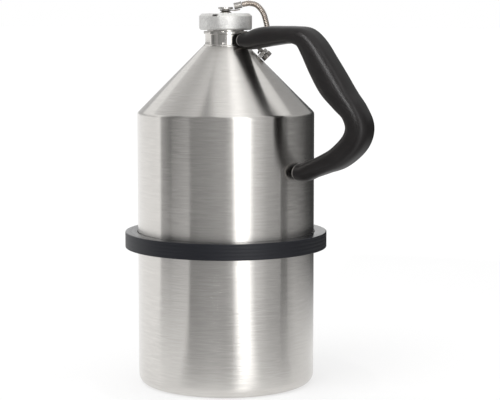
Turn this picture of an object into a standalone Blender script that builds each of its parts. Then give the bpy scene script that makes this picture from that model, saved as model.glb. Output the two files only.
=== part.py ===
"""Stainless steel safety can for about five litres of flammable liquid.

The can stands on the floor at z = 0 with its axis on Z. The carrying handle lies in
the XZ plane on the +X side. A steel tether holds the screw cap to the shoulder, and
its plane is turned about the axis from the handle. Lengths are in metres.
"""
import math

import bmesh
import bpy
from mathutils import Matrix, Vector

MM = 0.001
CLEARANCE = 0.3 * MM

# Body and shoulder
BODY_RADIUS = 80.0 * MM
BODY_WALL = 1.2 * MM
BASE_CORNER_RADIUS = 9.0 * MM
SHOULDER_HEIGHT = 246.3 * MM
SHOULDER_SLOPE = math.radians(45.0)
SHOULDER_KNUCKLE_RADIUS = 4.0 * MM
SHOULDER_LAP = 7.0 * MM

# Neck socket
NECK_RADIUS = 18.5 * MM
NECK_FOOT_FLARE = 1.7 * MM
NECK_FOOT_HEIGHT = 3.2 * MM
NECK_SPIGOT = 2.6 * MM
NECK_LENGTH = 10.6 * MM
NECK_WALL = 4.1 * MM
COLLAR_STEP = 1.25 * MM
COLLAR_HEIGHT = 2.8 * MM
COLLAR_CHAMFER = 0.5 * MM
ARRESTER_SEAT_DEPTH = 2.0 * MM
ARRESTER_SEAT_WIDTH = 1.1 * MM

# Round thread between neck and cap
THREAD_STEP = 1.5 * MM
THREAD_DEPTH = 1.0 * MM
THREAD_PITCH = 3.0 * MM
THREAD_CLEARANCE = 0.35 * MM
THREAD_RUN_OUT = 0.7 * MM
THREAD_RINGS_PER_TURN = 6

# Screw cap
CAP_OVERHANG = 5.2 * MM
CAP_GAP = 1.0 * MM
CAP_SKIRT = 8.4 * MM
CAP_TOP_CHAMFER = 2.4 * MM
CAP_FOOT_CHAMFER = 1.2 * MM
CAP_ROOF = 1.2 * MM
CAP_RELIEF_STEP = 1.0 * MM
VENT_LEDGE = 3.5 * MM
VENT_HEIGHT = 1.6 * MM
VENT_WIDTH = 5.0 * MM
VENT_LAP = 3.0 * MM
VENT_COUNT = 3
VENT_AZIMUTH = math.radians(-75.0)
GASKET_THICKNESS = 1.4 * MM
GASKET_SIDE_GAP = 0.7 * MM
GASKET_WIDTH = 2.4 * MM

# Relief valve inside the cap
VALVE_FLANGE = 1.3 * MM
VALVE_TUBE_RADIUS = 8.0 * MM
VALVE_TUBE_BORE = 6.6 * MM
VALVE_TUBE_DEPTH = 13.6 * MM
VALVE_SEAT_THICKNESS = 1.4 * MM
VALVE_SEAT_BORE = 3.0 * MM
VALVE_SEAL_THICKNESS = 0.9 * MM
VALVE_SEAL_RADIUS = 4.8 * MM
POPPET_RADIUS = 5.1 * MM
POPPET_THICKNESS = 1.2 * MM
POPPET_STEM_RADIUS = 1.5 * MM
POPPET_TRAVEL = 2.5 * MM
SPRING_RADIUS = 3.2 * MM
SPRING_WIRE_RADIUS = 0.45 * MM
SPRING_TURNS = 4.5

# Swivel stud on the cap
STUD_FLANGE_RADIUS = 6.6 * MM
STUD_FLANGE_THICKNESS = 1.9 * MM
STUD_EDGE = 0.4 * MM
STUD_WAIST_RADIUS = 3.1 * MM
STUD_FLARE_RADIUS = 5.3 * MM
STUD_FLARE_HEIGHT = 1.9 * MM
STUD_HEIGHT = 3.4 * MM
STUD_SHANK_RADIUS = 2.9 * MM
STUD_HEAD_RADIUS = 4.3 * MM
STUD_HEAD_THICKNESS = 0.8 * MM
STUD_WASHER_RADIUS = 6.4 * MM
STUD_WASHER_THICKNESS = 0.6 * MM

# Flame arrester in the neck
ARRESTER_SIDE_GAP = 0.6 * MM
ARRESTER_WALL = 0.8 * MM
ARRESTER_DEPTH = 62.0 * MM
ARRESTER_BASE_HOLE_OUTER = 8.3 * MM
ARRESTER_BASE_HOLE_INNER = 4.1 * MM
ARRESTER_COLUMNS = 18
ARRESTER_ROWS = 11
SNAP_RING_WIDTH = 1.0 * MM
SNAP_RING_THICKNESS = 0.6 * MM
SNAP_RING_GAP = math.radians(40.0)

# Rubber guard ring
GUARD_DEPTH = 11.6 * MM
GUARD_HEIGHT = 14.3 * MM
GUARD_FOOT_HEIGHT = 124.3 * MM
GUARD_CORNER_RADIUS = 1.2 * MM
GUARD_LIP_CHAMFER = 0.8 * MM

# Carrying handle: places along its middle line with half its depth there
HANDLE_HALF_WIDTH = 12.3 * MM
HANDLE_SQUARENESS = 2.7
HANDLE_END_SQUARENESS = 2.1
HANDLE_END_REACH = 34.0 * MM
HANDLE_END_ROUNDING = 1.6 * MM
HANDLE_UPPER_RISE = 5.4 * MM
HANDLE_LOWER_DROP = 49.3 * MM
HANDLE_STEP = 7.0 * MM
HANDLE_UPPER_HALF = (
    (2.4 * MM, 0.0 * MM, 6.3 * MM),
    (10.5 * MM, 0.0 * MM, 8.2 * MM),
    (21.5 * MM, 2.3 * MM, 9.0 * MM),
    (34.5 * MM, 4.0 * MM, 8.8 * MM),
    (49.5 * MM, 5.0 * MM, 7.9 * MM),
    (60.5 * MM, 5.0 * MM, 7.8 * MM),
    (71.7 * MM, 2.1 * MM, 9.7 * MM),
    (80.5 * MM, -7.1 * MM, 11.8 * MM),
)
HANDLE_LOWER_HALF = (
    (28.0 * MM, 93.4 * MM, 13.2 * MM),
    (39.0 * MM, 77.8 * MM, 13.8 * MM),
    (50.7 * MM, 64.7 * MM, 11.8 * MM),
    (60.7 * MM, 54.2 * MM, 10.4 * MM),
    (66.0 * MM, 41.4 * MM, 11.2 * MM),
    (61.3 * MM, 28.5 * MM, 11.0 * MM),
    (46.6 * MM, 15.6 * MM, 10.0 * MM),
    (31.5 * MM, 8.7 * MM, 8.5 * MM),
    (19.0 * MM, 3.9 * MM, 8.1 * MM),
    (8.4 * MM, 0.0 * MM, 7.9 * MM),
    (2.4 * MM, 0.0 * MM, 7.6 * MM),
)

# Steel core of the handle and the saddles that carry it
CORE_RADIUS = 3.6 * MM
CORE_GAP = 0.35 * MM
CUP_WALL = 1.0 * MM
CUP_LENGTH = 5.0 * MM
SADDLE_THICKNESS = 1.8 * MM
UPPER_SADDLE_HALF_ANGLE = math.radians(14.7)
LOWER_SADDLE_HALF_ANGLE = math.radians(3.6)
LOWER_SADDLE_HALF_HEIGHT = 5.2 * MM

# Tether: its plane, its ends and its route (distance from the axis, height above the cap's foot)
TETHER_AZIMUTH = math.radians(38.0)
SHEATH_RADIUS = 2.5 * MM
SHEATH_RIB_DEPTH = 0.4 * MM
SHEATH_RIB_PITCH = 1.6 * MM
WIRE_RADIUS = 1.15 * MM
WIRE_GAP = 0.4 * MM
FERRULE_WALL_STEP = 0.4 * MM
FERRULE_COLLAR_STEP = 0.25 * MM
FERRULE_COLLAR_LENGTH = 0.9 * MM
UPPER_FERRULE_LENGTH = 7.0 * MM
LOWER_FERRULE_LENGTH = 5.2 * MM
FERRULE_SOCKET_DEPTH = 4.0 * MM
TETHER_END_STRAIGHT = 5.0 * MM
TETHER_ROUTE = (
    (22.6 * MM, 23.6 * MM),
    (27.3 * MM, 22.3 * MM),
    (31.1 * MM, 19.0 * MM),
    (34.1 * MM, 14.4 * MM),
    (35.9 * MM, 8.7 * MM),
    (37.2 * MM, 2.3 * MM),
)

# Upper eye round the swivel stud
EYE_SLACK = 0.4 * MM
EYE_WIDTH = 1.7 * MM
EYE_THICKNESS = 1.2 * MM
EYE_ARM_WIDTH = 3.6 * MM
EYE_ARM_REACH = 4.8 * MM
UPPER_FERRULE_GAP = 0.4 * MM
UPPER_FERRULE_SLOPE = math.radians(12.0)
UPPER_FERRULE_RISE = 21.1 * MM

# Lower anchor on the shoulder
ANCHOR_REACH = 10.5 * MM
PIN_HEAD_LIFT = 0.5 * MM
ANCHOR_BOSS_RADIUS = 4.1 * MM
ANCHOR_BOSS_LENGTH = 3.4 * MM
ANCHOR_FOOT_WIDTH = 12.0 * MM
ANCHOR_WEB_WIDTH = 7.4 * MM
ANCHOR_FOOT_THICKNESS = 1.2 * MM
PIN_RADIUS = 1.7 * MM
PIN_BORE_CLEARANCE = 0.3 * MM
PIN_HEAD_RADIUS = 4.8 * MM
PIN_HEAD_THICKNESS = 4.1 * MM
PIN_HEAD_CHAMFER = 0.55 * MM
PIN_TAIL_RADIUS = 2.6 * MM
PIN_TAIL_THICKNESS = 1.1 * MM
ANCHOR_EYE_OFFSET = 2.9 * MM
ANCHOR_EYE_TILT = math.radians(25.0)
ANCHOR_EYE_SLACK = 1.0 * MM
ANCHOR_EYE_WIDTH = 1.7 * MM
ANCHOR_EYE_THICKNESS = 1.6 * MM
ANCHOR_SHANK_RADIUS = 1.1 * MM
ANCHOR_SHANK_REACH = 5.2 * MM

# Facets of round pieces
BODY_FACETS = 64
NECK_FACETS = 28
SMALL_FACETS = 20
TUBE_FACETS = 8
SHANK_FACETS = 12
GRIP_FACETS = 16
WIRE_FACETS = 6


def shoulder_surface(radius):
    """Height of the sloping shoulder at a distance from the axis."""
    return SHOULDER_HEIGHT + (BODY_RADIUS - radius) * math.tan(SHOULDER_SLOPE)


# Radii that follow from the sizes above, from the neck out and in
guard_radius = BODY_RADIUS + GUARD_DEPTH
neck_foot_radius = NECK_RADIUS + NECK_FOOT_FLARE
neck_hole_radius = neck_foot_radius + CLEARANCE
neck_bore_radius = NECK_RADIUS - NECK_WALL
collar_radius = NECK_RADIUS + COLLAR_STEP
arrester_seat_radius = neck_bore_radius + ARRESTER_SEAT_WIDTH
arrester_radius = neck_bore_radius - ARRESTER_SIDE_GAP
snap_ring_inner_radius = arrester_seat_radius - CLEARANCE - SNAP_RING_WIDTH
thread_radius = NECK_RADIUS - THREAD_STEP
thread_root = thread_radius - THREAD_DEPTH / 2
cap_radius = NECK_RADIUS + CAP_OVERHANG
cap_relief_radius = thread_radius + CAP_RELIEF_STEP
vent_chamber_radius = cap_relief_radius - VENT_LEDGE
gasket_outer_radius = cap_relief_radius - GASKET_SIDE_GAP
gasket_inner_radius = gasket_outer_radius - GASKET_WIDTH
core_bore_radius = CORE_RADIUS + CORE_GAP
eye_inner_radius = STUD_WAIST_RADIUS + EYE_SLACK
eye_outer_radius = eye_inner_radius + EYE_WIDTH
sheath_root_radius = SHEATH_RADIUS - SHEATH_RIB_DEPTH
sheath_bore_radius = WIRE_RADIUS + WIRE_GAP
ferrule_radius = SHEATH_RADIUS + FERRULE_WALL_STEP
ferrule_collar_radius = ferrule_radius + FERRULE_COLLAR_STEP
anchor_radius = NECK_RADIUS + ANCHOR_REACH
anchor_pin_height = PIN_HEAD_RADIUS + PIN_HEAD_LIFT
anchor_eye_bore = PIN_RADIUS + ANCHOR_EYE_SLACK
anchor_eye_radius = anchor_eye_bore + ANCHOR_EYE_WIDTH

# Heights that follow from the sizes above, from the shoulder up
neck_z = shoulder_surface(neck_hole_radius)
collar_z = neck_z + NECK_LENGTH
cap_z = collar_z + COLLAR_HEIGHT + CAP_GAP
rim_z = cap_z + CAP_SKIRT
gasket_z = rim_z + CLEARANCE
flange_z = gasket_z + GASKET_THICKNESS + CLEARANCE
clamp_z = flange_z + VALVE_FLANGE + CLEARANCE
roof_z = clamp_z + VENT_HEIGHT
cap_top_z = roof_z + CAP_ROOF
upper_seat = Vector((NECK_RADIUS, 0.0, neck_z + HANDLE_UPPER_RISE))
lower_seat = Vector((BODY_RADIUS, 0.0, SHOULDER_HEIGHT - HANDLE_LOWER_DROP))


def clear_scene():
    for old in list(bpy.data.objects):
        bpy.data.objects.remove(old, do_unlink=True)


def material(name, colour, roughness, metallic):
    made = bpy.data.materials.new(name)
    made.use_nodes = True
    shader = made.node_tree.nodes["Principled BSDF"]
    shader.inputs["Base Color"].default_value = (*colour, 1.0)
    shader.inputs["Roughness"].default_value = roughness
    shader.inputs["Metallic"].default_value = metallic
    return made


def add_object(name, mesh_data, finish, closed=True):
    """Turn a bmesh into a named object, with the faces of a closed one pointing out."""
    if closed:
        bmesh.ops.recalc_face_normals(mesh_data, faces=mesh_data.faces)
    mesh = bpy.data.meshes.new(name)
    mesh_data.to_mesh(mesh)
    mesh_data.free()
    mesh.shade_smooth()
    mesh.set_sharp_from_angle(angle=math.radians(32.0))
    mesh.materials.append(finish)
    placed = bpy.data.objects.new(name, mesh)
    bpy.context.collection.objects.link(placed)
    return placed


def bridge(mesh_data, first, second):
    """Join two rings of the same length, either of which may be a single pole."""
    count = max(len(first), len(second))
    for i in range(count):
        j = (i + 1) % count
        near, far = first[i % len(first)], first[j % len(first)]
        far_side, near_side = second[j % len(second)], second[i % len(second)]
        distinct = list(dict.fromkeys((near, far, far_side, near_side)))
        mesh_data.faces.new(distinct)


def thread_wave(height, angle):
    """Height of a right-hand round thread above its middle radius, from -1 to 1."""
    return math.cos(2 * math.pi * height / THREAD_PITCH - angle)


def turned(name, outline, facets, finish):
    """Solid of revolution about Z from an outline of (radius, height) points.

    A third value on a point is the height of the screw thread there. An outline that
    starts and ends on the axis is solid, and any other closes on itself.
    """
    mesh_data = bmesh.new()
    rings = []
    for point in outline:
        radius, height = point[0], point[1]
        wave = point[2] if len(point) > 2 else 0.0
        if radius < 1e-7:
            rings.append([mesh_data.verts.new((0.0, 0.0, height))])
            continue
        ring = []
        for i in range(facets):
            angle = 2 * math.pi * i / facets
            reach = radius + wave * thread_wave(height, angle)
            ring.append(mesh_data.verts.new((reach * math.cos(angle), reach * math.sin(angle), height)))
        rings.append(ring)
    for first, second in zip(rings, rings[1:]):
        bridge(mesh_data, first, second)
    if len(rings[0]) > 1:
        bridge(mesh_data, rings[-1], rings[0])
    return add_object(name, mesh_data, finish)


def arc(centre, radius, start, end, steps):
    """Points of an arc in the (radius, height) plane, both ends included."""
    points = []
    for i in range(steps + 1):
        angle = start + (end - start) * i / steps
        points.append((centre[0] + radius * math.cos(angle), centre[1] + radius * math.sin(angle)))
    return points


def thread_outline(radius, low, high):
    """Outline points of a threaded stretch, run out to nothing at both ends."""
    steps = round((high - low) / THREAD_PITCH * THREAD_RINGS_PER_TURN)
    points = []
    for i in range(steps + 1):
        height = low + (high - low) * i / steps
        fade = min(1.0, min(height - low, high - height) / THREAD_RUN_OUT)
        wave = fade * THREAD_DEPTH / 2
        points.append((radius + (fade - 1.0) * THREAD_DEPTH / 2, height, wave))
    return points


def prism(name, outline, low, high, finish):
    """Straight solid with a flat (x, y) outline between two heights."""
    mesh_data = bmesh.new()
    bottom = [mesh_data.verts.new((x, y, low)) for x, y in outline]
    top = [mesh_data.verts.new((x, y, high)) for x, y in outline]
    bridge(mesh_data, bottom, top)
    mesh_data.faces.new(bottom)
    mesh_data.faces.new(top)
    return add_object(name, mesh_data, finish)


def combine(target, tool, operation):
    """Unite a tool with an object or cut it away, and keep the tool as a guide."""
    step = target.modifiers.new(operation.lower(), "BOOLEAN")
    step.operation = operation
    step.object = tool
    tool.hide_render = True
    tool.display_type = "WIRE"


def place(piece, frame):
    """Move a finished object and its guides from local to world places."""
    for step in piece.modifiers:
        step.object.matrix_world = frame @ step.object.matrix_world
    piece.matrix_world = frame @ piece.matrix_world


def frame_at(origin, x_axis, y_axis, z_axis):
    """Placing matrix from an origin and three unit axes."""
    rotation = Matrix((x_axis, y_axis, z_axis)).transposed().to_4x4()
    return Matrix.Translation(origin) @ rotation


def hermite_route(points, start_direction, end_direction, steps):
    """Smooth route through points of any dimension, with its end directions set."""
    size = len(points[0])
    slopes = []
    for i in range(len(points)):
        before, after = points[max(i - 1, 0)], points[min(i + 1, len(points) - 1)]
        slopes.append([(after[k] - before[k]) / 2 for k in range(size)])
    for index, direction, other in ((0, start_direction, 1), (-1, end_direction, -2)):
        reach = math.dist(points[index][:2], points[other][:2])
        slopes[index] = [value * reach for value in direction]
    route = []
    for i in range(len(points) - 1):
        for step in range(steps):
            t = step / steps
            weights = (
                2 * t**3 - 3 * t**2 + 1,
                t**3 - 2 * t**2 + t,
                -2 * t**3 + 3 * t**2,
                t**3 - t**2,
            )
            parts = (points[i], slopes[i], points[i + 1], slopes[i + 1])
            route.append([sum(w * part[k] for w, part in zip(weights, parts)) for k in range(size)])
    route.append(list(points[-1]))
    return route


class Path:
    """A flat route (distance from the axis, height) with other values carried along it."""

    def __init__(self, route, azimuth):
        self.route = route
        self.outward = Vector((math.cos(azimuth), math.sin(azimuth), 0.0))
        self.side = Vector((-math.sin(azimuth), math.cos(azimuth), 0.0))
        self.marks = [0.0]
        for before, after in zip(route, route[1:]):
            self.marks.append(self.marks[-1] + math.dist(before[:2], after[:2]))
        self.length = self.marks[-1]

    def values(self, distance):
        """Route values at a distance along it, carried straight on past its ends."""
        index = 0
        while index < len(self.marks) - 2 and self.marks[index + 1] < distance:
            index += 1
        span = self.marks[index + 1] - self.marks[index]
        share = (distance - self.marks[index]) / span
        return [a + (b - a) * share for a, b in zip(self.route[index], self.route[index + 1])]

    def frame(self, distance):
        """Centre, depth direction and width direction of a cross-section."""
        reach = min(0.4 * MM, self.length / 100)
        before, after = self.values(distance - reach), self.values(distance + reach)
        across, along = after[0] - before[0], after[1] - before[1]
        size = math.hypot(across, along)
        centre = self.values(distance)
        middle = self.outward * centre[0] + Vector((0.0, 0.0, centre[1]))
        depth = self.outward * (-along / size) + Vector((0.0, 0.0, across / size))
        return middle, depth, self.side

    def round_ring(self, distance, radius, facets):
        centre, depth, side = self.frame(distance)
        ring = []
        for i in range(facets):
            angle = 2 * math.pi * (i + 0.5) / facets
            ring.append(centre + depth * (radius * math.sin(angle)) + side * (radius * math.cos(angle)))
        return ring


def swept(name, outer, inner, finish):
    """Solid along a path from rings of equal length, hollow where inner rings are given."""
    mesh_data = bmesh.new()
    shells = []
    for rings in (outer, inner):
        made = [[mesh_data.verts.new(point) for point in ring] for ring in rings]
        for first, second in zip(made, made[1:]):
            bridge(mesh_data, first, second)
        shells.append(made)
    outside, inside = shells
    for end in (0, -1):
        if inside:
            bridge(mesh_data, outside[end], inside[end])
        else:
            mesh_data.faces.new(outside[end])
    return add_object(name, mesh_data, finish)


def spaced(start, end, step):
    """Evenly spaced distances from start to end, about one step apart."""
    count = max(1, round((end - start) / step))
    return [start + (end - start) * i / count for i in range(count + 1)]


def body_shell(finish):
    """Deep-drawn cylinder with a flat base and a rounded corner, open at the top."""
    corner = (BODY_RADIUS - BASE_CORNER_RADIUS, BASE_CORNER_RADIUS)
    top = shoulder_knuckle_foot() - CLEARANCE
    outside = arc(corner, BASE_CORNER_RADIUS, -math.pi / 2, 0.0, 4)
    inside = arc(corner, BASE_CORNER_RADIUS - BODY_WALL, 0.0, -math.pi / 2, 3)
    outline = [(0.0, 0.0), *outside, (BODY_RADIUS, top)]
    outline += [(BODY_RADIUS - BODY_WALL, top), *inside, (0.0, BODY_WALL)]
    return turned("body_shell", outline, BODY_FACETS, finish)


def shoulder_knuckle_foot():
    """Height where the shoulder's rounded knuckle meets the straight wall."""
    return SHOULDER_HEIGHT - SHOULDER_KNUCKLE_RADIUS * math.tan(SHOULDER_SLOPE / 2)


def shoulder_cone(finish):
    """Cone over the body, with a rounded knuckle and a skirt that laps inside the wall."""
    foot = shoulder_knuckle_foot()
    centre = (BODY_RADIUS - SHOULDER_KNUCKLE_RADIUS, foot)
    outer_arc = arc(centre, SHOULDER_KNUCKLE_RADIUS, 0.0, math.pi / 2 - SHOULDER_SLOPE, 3)
    skirt_radius = BODY_RADIUS - BODY_WALL - CLEARANCE
    inner_skirt = skirt_radius - BODY_WALL
    drop = BODY_WALL / math.cos(SHOULDER_SLOPE)
    inner_knee = shoulder_surface(inner_skirt) - drop
    outline = [
        (neck_hole_radius, shoulder_surface(neck_hole_radius)),
        *reversed(outer_arc),
        (skirt_radius, foot),
        (skirt_radius, foot - SHOULDER_LAP),
        (inner_skirt, foot - SHOULDER_LAP),
        (inner_skirt, inner_knee),
        (neck_hole_radius, shoulder_surface(neck_hole_radius) - drop),
    ]
    return turned("shoulder_cone", outline, BODY_FACETS, finish)


def neck_socket(finish):
    """Turned neck: weld foot, polished barrel, collar, round thread and arrester seat."""
    foot_top = neck_z + NECK_FOOT_HEIGHT
    step_radius = (NECK_RADIUS + neck_foot_radius) / 2
    thread_low = cap_z + THREAD_RUN_OUT
    thread_high = rim_z - THREAD_RUN_OUT
    bottom = neck_z - NECK_SPIGOT
    outline = [
        (neck_bore_radius, bottom),
        (neck_foot_radius, bottom),
        (neck_foot_radius, neck_z),
        (step_radius, foot_top - NECK_FOOT_HEIGHT / 2),
        (NECK_RADIUS, foot_top),
        (NECK_RADIUS, collar_z),
        (collar_radius - COLLAR_CHAMFER, collar_z),
        (collar_radius, collar_z + COLLAR_CHAMFER),
        (collar_radius, collar_z + COLLAR_HEIGHT - COLLAR_CHAMFER),
        (collar_radius - COLLAR_CHAMFER, collar_z + COLLAR_HEIGHT),
        (thread_root, collar_z + COLLAR_HEIGHT),
        *thread_outline(thread_radius, thread_low, thread_high),
        (thread_root, rim_z),
        (arrester_seat_radius, rim_z),
        (arrester_seat_radius, rim_z - ARRESTER_SEAT_DEPTH),
        (neck_bore_radius, rim_z - ARRESTER_SEAT_DEPTH),
    ]
    return turned("neck_socket", outline, NECK_FACETS, finish)


def arrester_basket(finish):
    """Perforated sleeve with a closed perforated end, hung in the neck by its flange."""
    flange_low = rim_z - ARRESTER_SEAT_DEPTH + CLEARANCE
    bottom = flange_low - ARRESTER_DEPTH
    outline = [(arrester_seat_radius - CLEARANCE, flange_low), (arrester_radius, flange_low)]
    sleeve_top = neck_z - NECK_SPIGOT
    for row in range(ARRESTER_ROWS + 1):
        outline.append((arrester_radius, sleeve_top + (bottom - sleeve_top) * row / ARRESTER_ROWS))
    outline += [(ARRESTER_BASE_HOLE_OUTER, bottom), (ARRESTER_BASE_HOLE_INNER, bottom)]
    mesh_data = bmesh.new()
    rings = []
    for radius, height in outline:
        ring = []
        for i in range(ARRESTER_COLUMNS):
            angle = 2 * math.pi * i / ARRESTER_COLUMNS
            ring.append(mesh_data.verts.new((radius * math.cos(angle), radius * math.sin(angle), height)))
        rings.append(ring)
    first_row = 2
    for row, (upper, lower) in enumerate(zip(rings, rings[1:])):
        on_sleeve = first_row < row < first_row + ARRESTER_ROWS - 1
        on_base = row == len(rings) - 2
        for i in range(ARRESTER_COLUMNS):
            open_sleeve = on_sleeve and row % 2 == 1 and i % 2 == 0
            open_base = on_base and i % 3 == 0
            if open_sleeve or open_base:
                continue
            j = (i + 1) % ARRESTER_COLUMNS
            mesh_data.faces.new((upper[i], upper[j], lower[j], lower[i]))
    mesh_data.faces.new(rings[-1])
    basket = add_object("arrester_basket", mesh_data, finish, closed=False)
    wall = basket.modifiers.new("wall", "SOLIDIFY")
    wall.thickness = ARRESTER_WALL
    wall.offset = 1.0
    return basket


def snap_ring(finish):
    """Open ring that keeps the arrester's flange in its seat."""
    low = rim_z - ARRESTER_SEAT_DEPTH + ARRESTER_WALL + 2 * CLEARANCE
    outer = arrester_seat_radius - CLEARANCE
    steps = 20
    outline = []
    for radius, order in ((outer, range(steps + 1)), (snap_ring_inner_radius, range(steps, -1, -1))):
        for i in order:
            angle = SNAP_RING_GAP / 2 + (2 * math.pi - SNAP_RING_GAP) * i / steps
            outline.append((radius * math.cos(angle), radius * math.sin(angle)))
    return prism("arrester_snap_ring", outline, low, low + SNAP_RING_THICKNESS, finish)


def cap_shell(finish):
    """Turned cap with a round thread inside and vent slots in its top chamfer."""
    female_radius = thread_radius + THREAD_CLEARANCE
    entry_radius = female_radius + THREAD_DEPTH / 2
    thread_low = cap_z + THREAD_RUN_OUT
    thread_high = rim_z - CAP_GAP
    threads = []
    for radius, height, wave in thread_outline(female_radius, thread_low, thread_high):
        outward = 2 * (female_radius - radius)
        threads.append((radius + outward, height, wave))
    hole_radius = STUD_SHANK_RADIUS + CLEARANCE
    outline = [
        (hole_radius, cap_top_z),
        (cap_radius - CAP_TOP_CHAMFER, cap_top_z),
        (cap_radius, cap_top_z - CAP_TOP_CHAMFER),
        (cap_radius, cap_z + CAP_FOOT_CHAMFER),
        (cap_radius - CAP_FOOT_CHAMFER, cap_z),
        (entry_radius, cap_z),
        *threads,
        (cap_relief_radius, thread_high + CLEARANCE),
        (cap_relief_radius, clamp_z),
        (vent_chamber_radius, clamp_z),
        (vent_chamber_radius, roof_z),
        (hole_radius, roof_z),
    ]
    cap = turned("cap_shell", outline, NECK_FACETS, finish)
    for i in range(VENT_COUNT):
        angle = VENT_AZIMUTH + 2 * math.pi * i / VENT_COUNT
        half = VENT_WIDTH / 2
        inner, outer = vent_chamber_radius - VENT_LAP, cap_radius + CLEARANCE
        slot = prism(
            f"vent_slot_guide_{i + 1}",
            [(inner, -half), (outer, -half), (outer, half), (inner, half)],
            clamp_z + CLEARANCE, roof_z + CLEARANCE, finish)
        slot.rotation_euler = (0.0, 0.0, angle)
        combine(cap, slot, "DIFFERENCE")
    return cap


def cap_gasket(finish):
    """Flat seal between the neck's rim and the valve flange."""
    high = gasket_z + GASKET_THICKNESS
    outline = [
        (gasket_outer_radius, gasket_z),
        (gasket_outer_radius, high),
        (gasket_inner_radius, high),
        (gasket_inner_radius, gasket_z),
    ]
    return turned("cap_gasket", outline, NECK_FACETS, finish)


def valve_body(finish):
    """Relief-valve tube with the sealing flange on top and the valve seat at its foot."""
    foot = flange_z - VALVE_TUBE_DEPTH
    seat = foot + VALVE_SEAT_THICKNESS
    flange_top = flange_z + VALVE_FLANGE
    flange_radius = cap_relief_radius - 2 * CLEARANCE
    outline = [
        (VALVE_SEAT_BORE, foot),
        (VALVE_TUBE_RADIUS, foot),
        (VALVE_TUBE_RADIUS, flange_z),
        (flange_radius, flange_z),
        (flange_radius, flange_top),
        (VALVE_TUBE_BORE, flange_top),
        (VALVE_TUBE_BORE, seat),
        (VALVE_SEAT_BORE, seat),
    ]
    return turned("valve_body", outline, NECK_FACETS, finish)


def valve_heights():
    """Foot of the seal, foot of the poppet and top of the poppet's disc."""
    seal = flange_z - VALVE_TUBE_DEPTH + VALVE_SEAT_THICKNESS + CLEARANCE
    poppet = seal + VALVE_SEAL_THICKNESS + CLEARANCE
    return seal, poppet, poppet + POPPET_THICKNESS


def valve_seal(finish):
    """Rubber washer under the poppet."""
    low = valve_heights()[0]
    high = low + VALVE_SEAL_THICKNESS
    inner = VALVE_SEAT_BORE + CLEARANCE
    outline = [(VALVE_SEAL_RADIUS, low), (VALVE_SEAL_RADIUS, high), (inner, high), (inner, low)]
    return turned("valve_seal", outline, SMALL_FACETS, finish)


def valve_poppet(finish):
    """Disc that closes the seat, with a stem guided in the swivel stud."""
    low, disc_top = valve_heights()[1:]
    stem_top = roof_z
    outline = [
        (0.0, low),
        (POPPET_RADIUS, low),
        (POPPET_RADIUS, disc_top),
        (POPPET_STEM_RADIUS, disc_top),
        (POPPET_STEM_RADIUS, stem_top),
        (0.0, stem_top),
    ]
    return turned("valve_poppet", outline, SMALL_FACETS, finish)


def stud_head_foot():
    """Underside of the stud's closing head inside the cap."""
    return roof_z - STUD_WASHER_THICKNESS - 2 * CLEARANCE - STUD_HEAD_THICKNESS


def valve_spring(finish):
    """Coil spring round the poppet's stem, one unbroken wire."""
    low = valve_heights()[2] + CLEARANCE + SPRING_WIRE_RADIUS
    high = stud_head_foot() - CLEARANCE - SPRING_WIRE_RADIUS
    points_per_turn = 10
    steps = round(SPRING_TURNS * points_per_turn)
    rings = []
    for i in range(steps + 1):
        angle = 2 * math.pi * i / points_per_turn
        outward = Vector((math.cos(angle), math.sin(angle), 0.0))
        centre = outward * SPRING_RADIUS + Vector((0.0, 0.0, low + (high - low) * i / steps))
        ring = []
        for k in range(WIRE_FACETS):
            turn = 2 * math.pi * k / WIRE_FACETS
            lift = Vector((0.0, 0.0, SPRING_WIRE_RADIUS * math.sin(turn)))
            ring.append(centre + outward * (SPRING_WIRE_RADIUS * math.cos(turn)) + lift)
        rings.append(ring)
    gap = (high - low) / SPRING_TURNS - 2 * SPRING_WIRE_RADIUS
    print(f"valve_spring gap between turns {gap / MM:.2f} mm")
    return swept("valve_spring", rings, [], finish)


def swivel_stud(finish):
    """Spool-shaped stud riveted through the cap, on which the tether's eye turns."""
    flare_z = cap_top_z + CLEARANCE
    waist_z = flare_z + STUD_FLARE_HEIGHT
    flange_low = flare_z + STUD_HEIGHT
    flange_high = flange_low + STUD_FLANGE_THICKNESS
    head_low = stud_head_foot()
    guide_radius = POPPET_STEM_RADIUS + CLEARANCE
    guide_top = roof_z + POPPET_TRAVEL + CLEARANCE
    edge = STUD_EDGE
    outline = [
        (0.0, flange_high),
        (STUD_FLANGE_RADIUS - edge, flange_high),
        (STUD_FLANGE_RADIUS, flange_high - edge),
        (STUD_FLANGE_RADIUS, flange_low + edge),
        (STUD_FLANGE_RADIUS - edge, flange_low),
        (STUD_WAIST_RADIUS, flange_low),
        (STUD_WAIST_RADIUS, waist_z),
        (STUD_FLARE_RADIUS, flare_z + edge),
        (STUD_FLARE_RADIUS, flare_z),
        (STUD_SHANK_RADIUS, flare_z),
        (STUD_SHANK_RADIUS, head_low + STUD_HEAD_THICKNESS),
        (STUD_HEAD_RADIUS, head_low + STUD_HEAD_THICKNESS),
        (STUD_HEAD_RADIUS, head_low),
        (guide_radius, head_low),
        (guide_radius, guide_top),
        (0.0, guide_top),
    ]
    return turned("swivel_stud", outline, SMALL_FACETS, finish)


def stud_washer(finish):
    """Washer between the stud's closing head and the cap."""
    high = roof_z - CLEARANCE
    low = high - STUD_WASHER_THICKNESS
    inner = STUD_SHANK_RADIUS + CLEARANCE
    outline = [(STUD_WASHER_RADIUS, low), (STUD_WASHER_RADIUS, high), (inner, high), (inner, low)]
    return turned("stud_washer", outline, SMALL_FACETS, finish)


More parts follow.
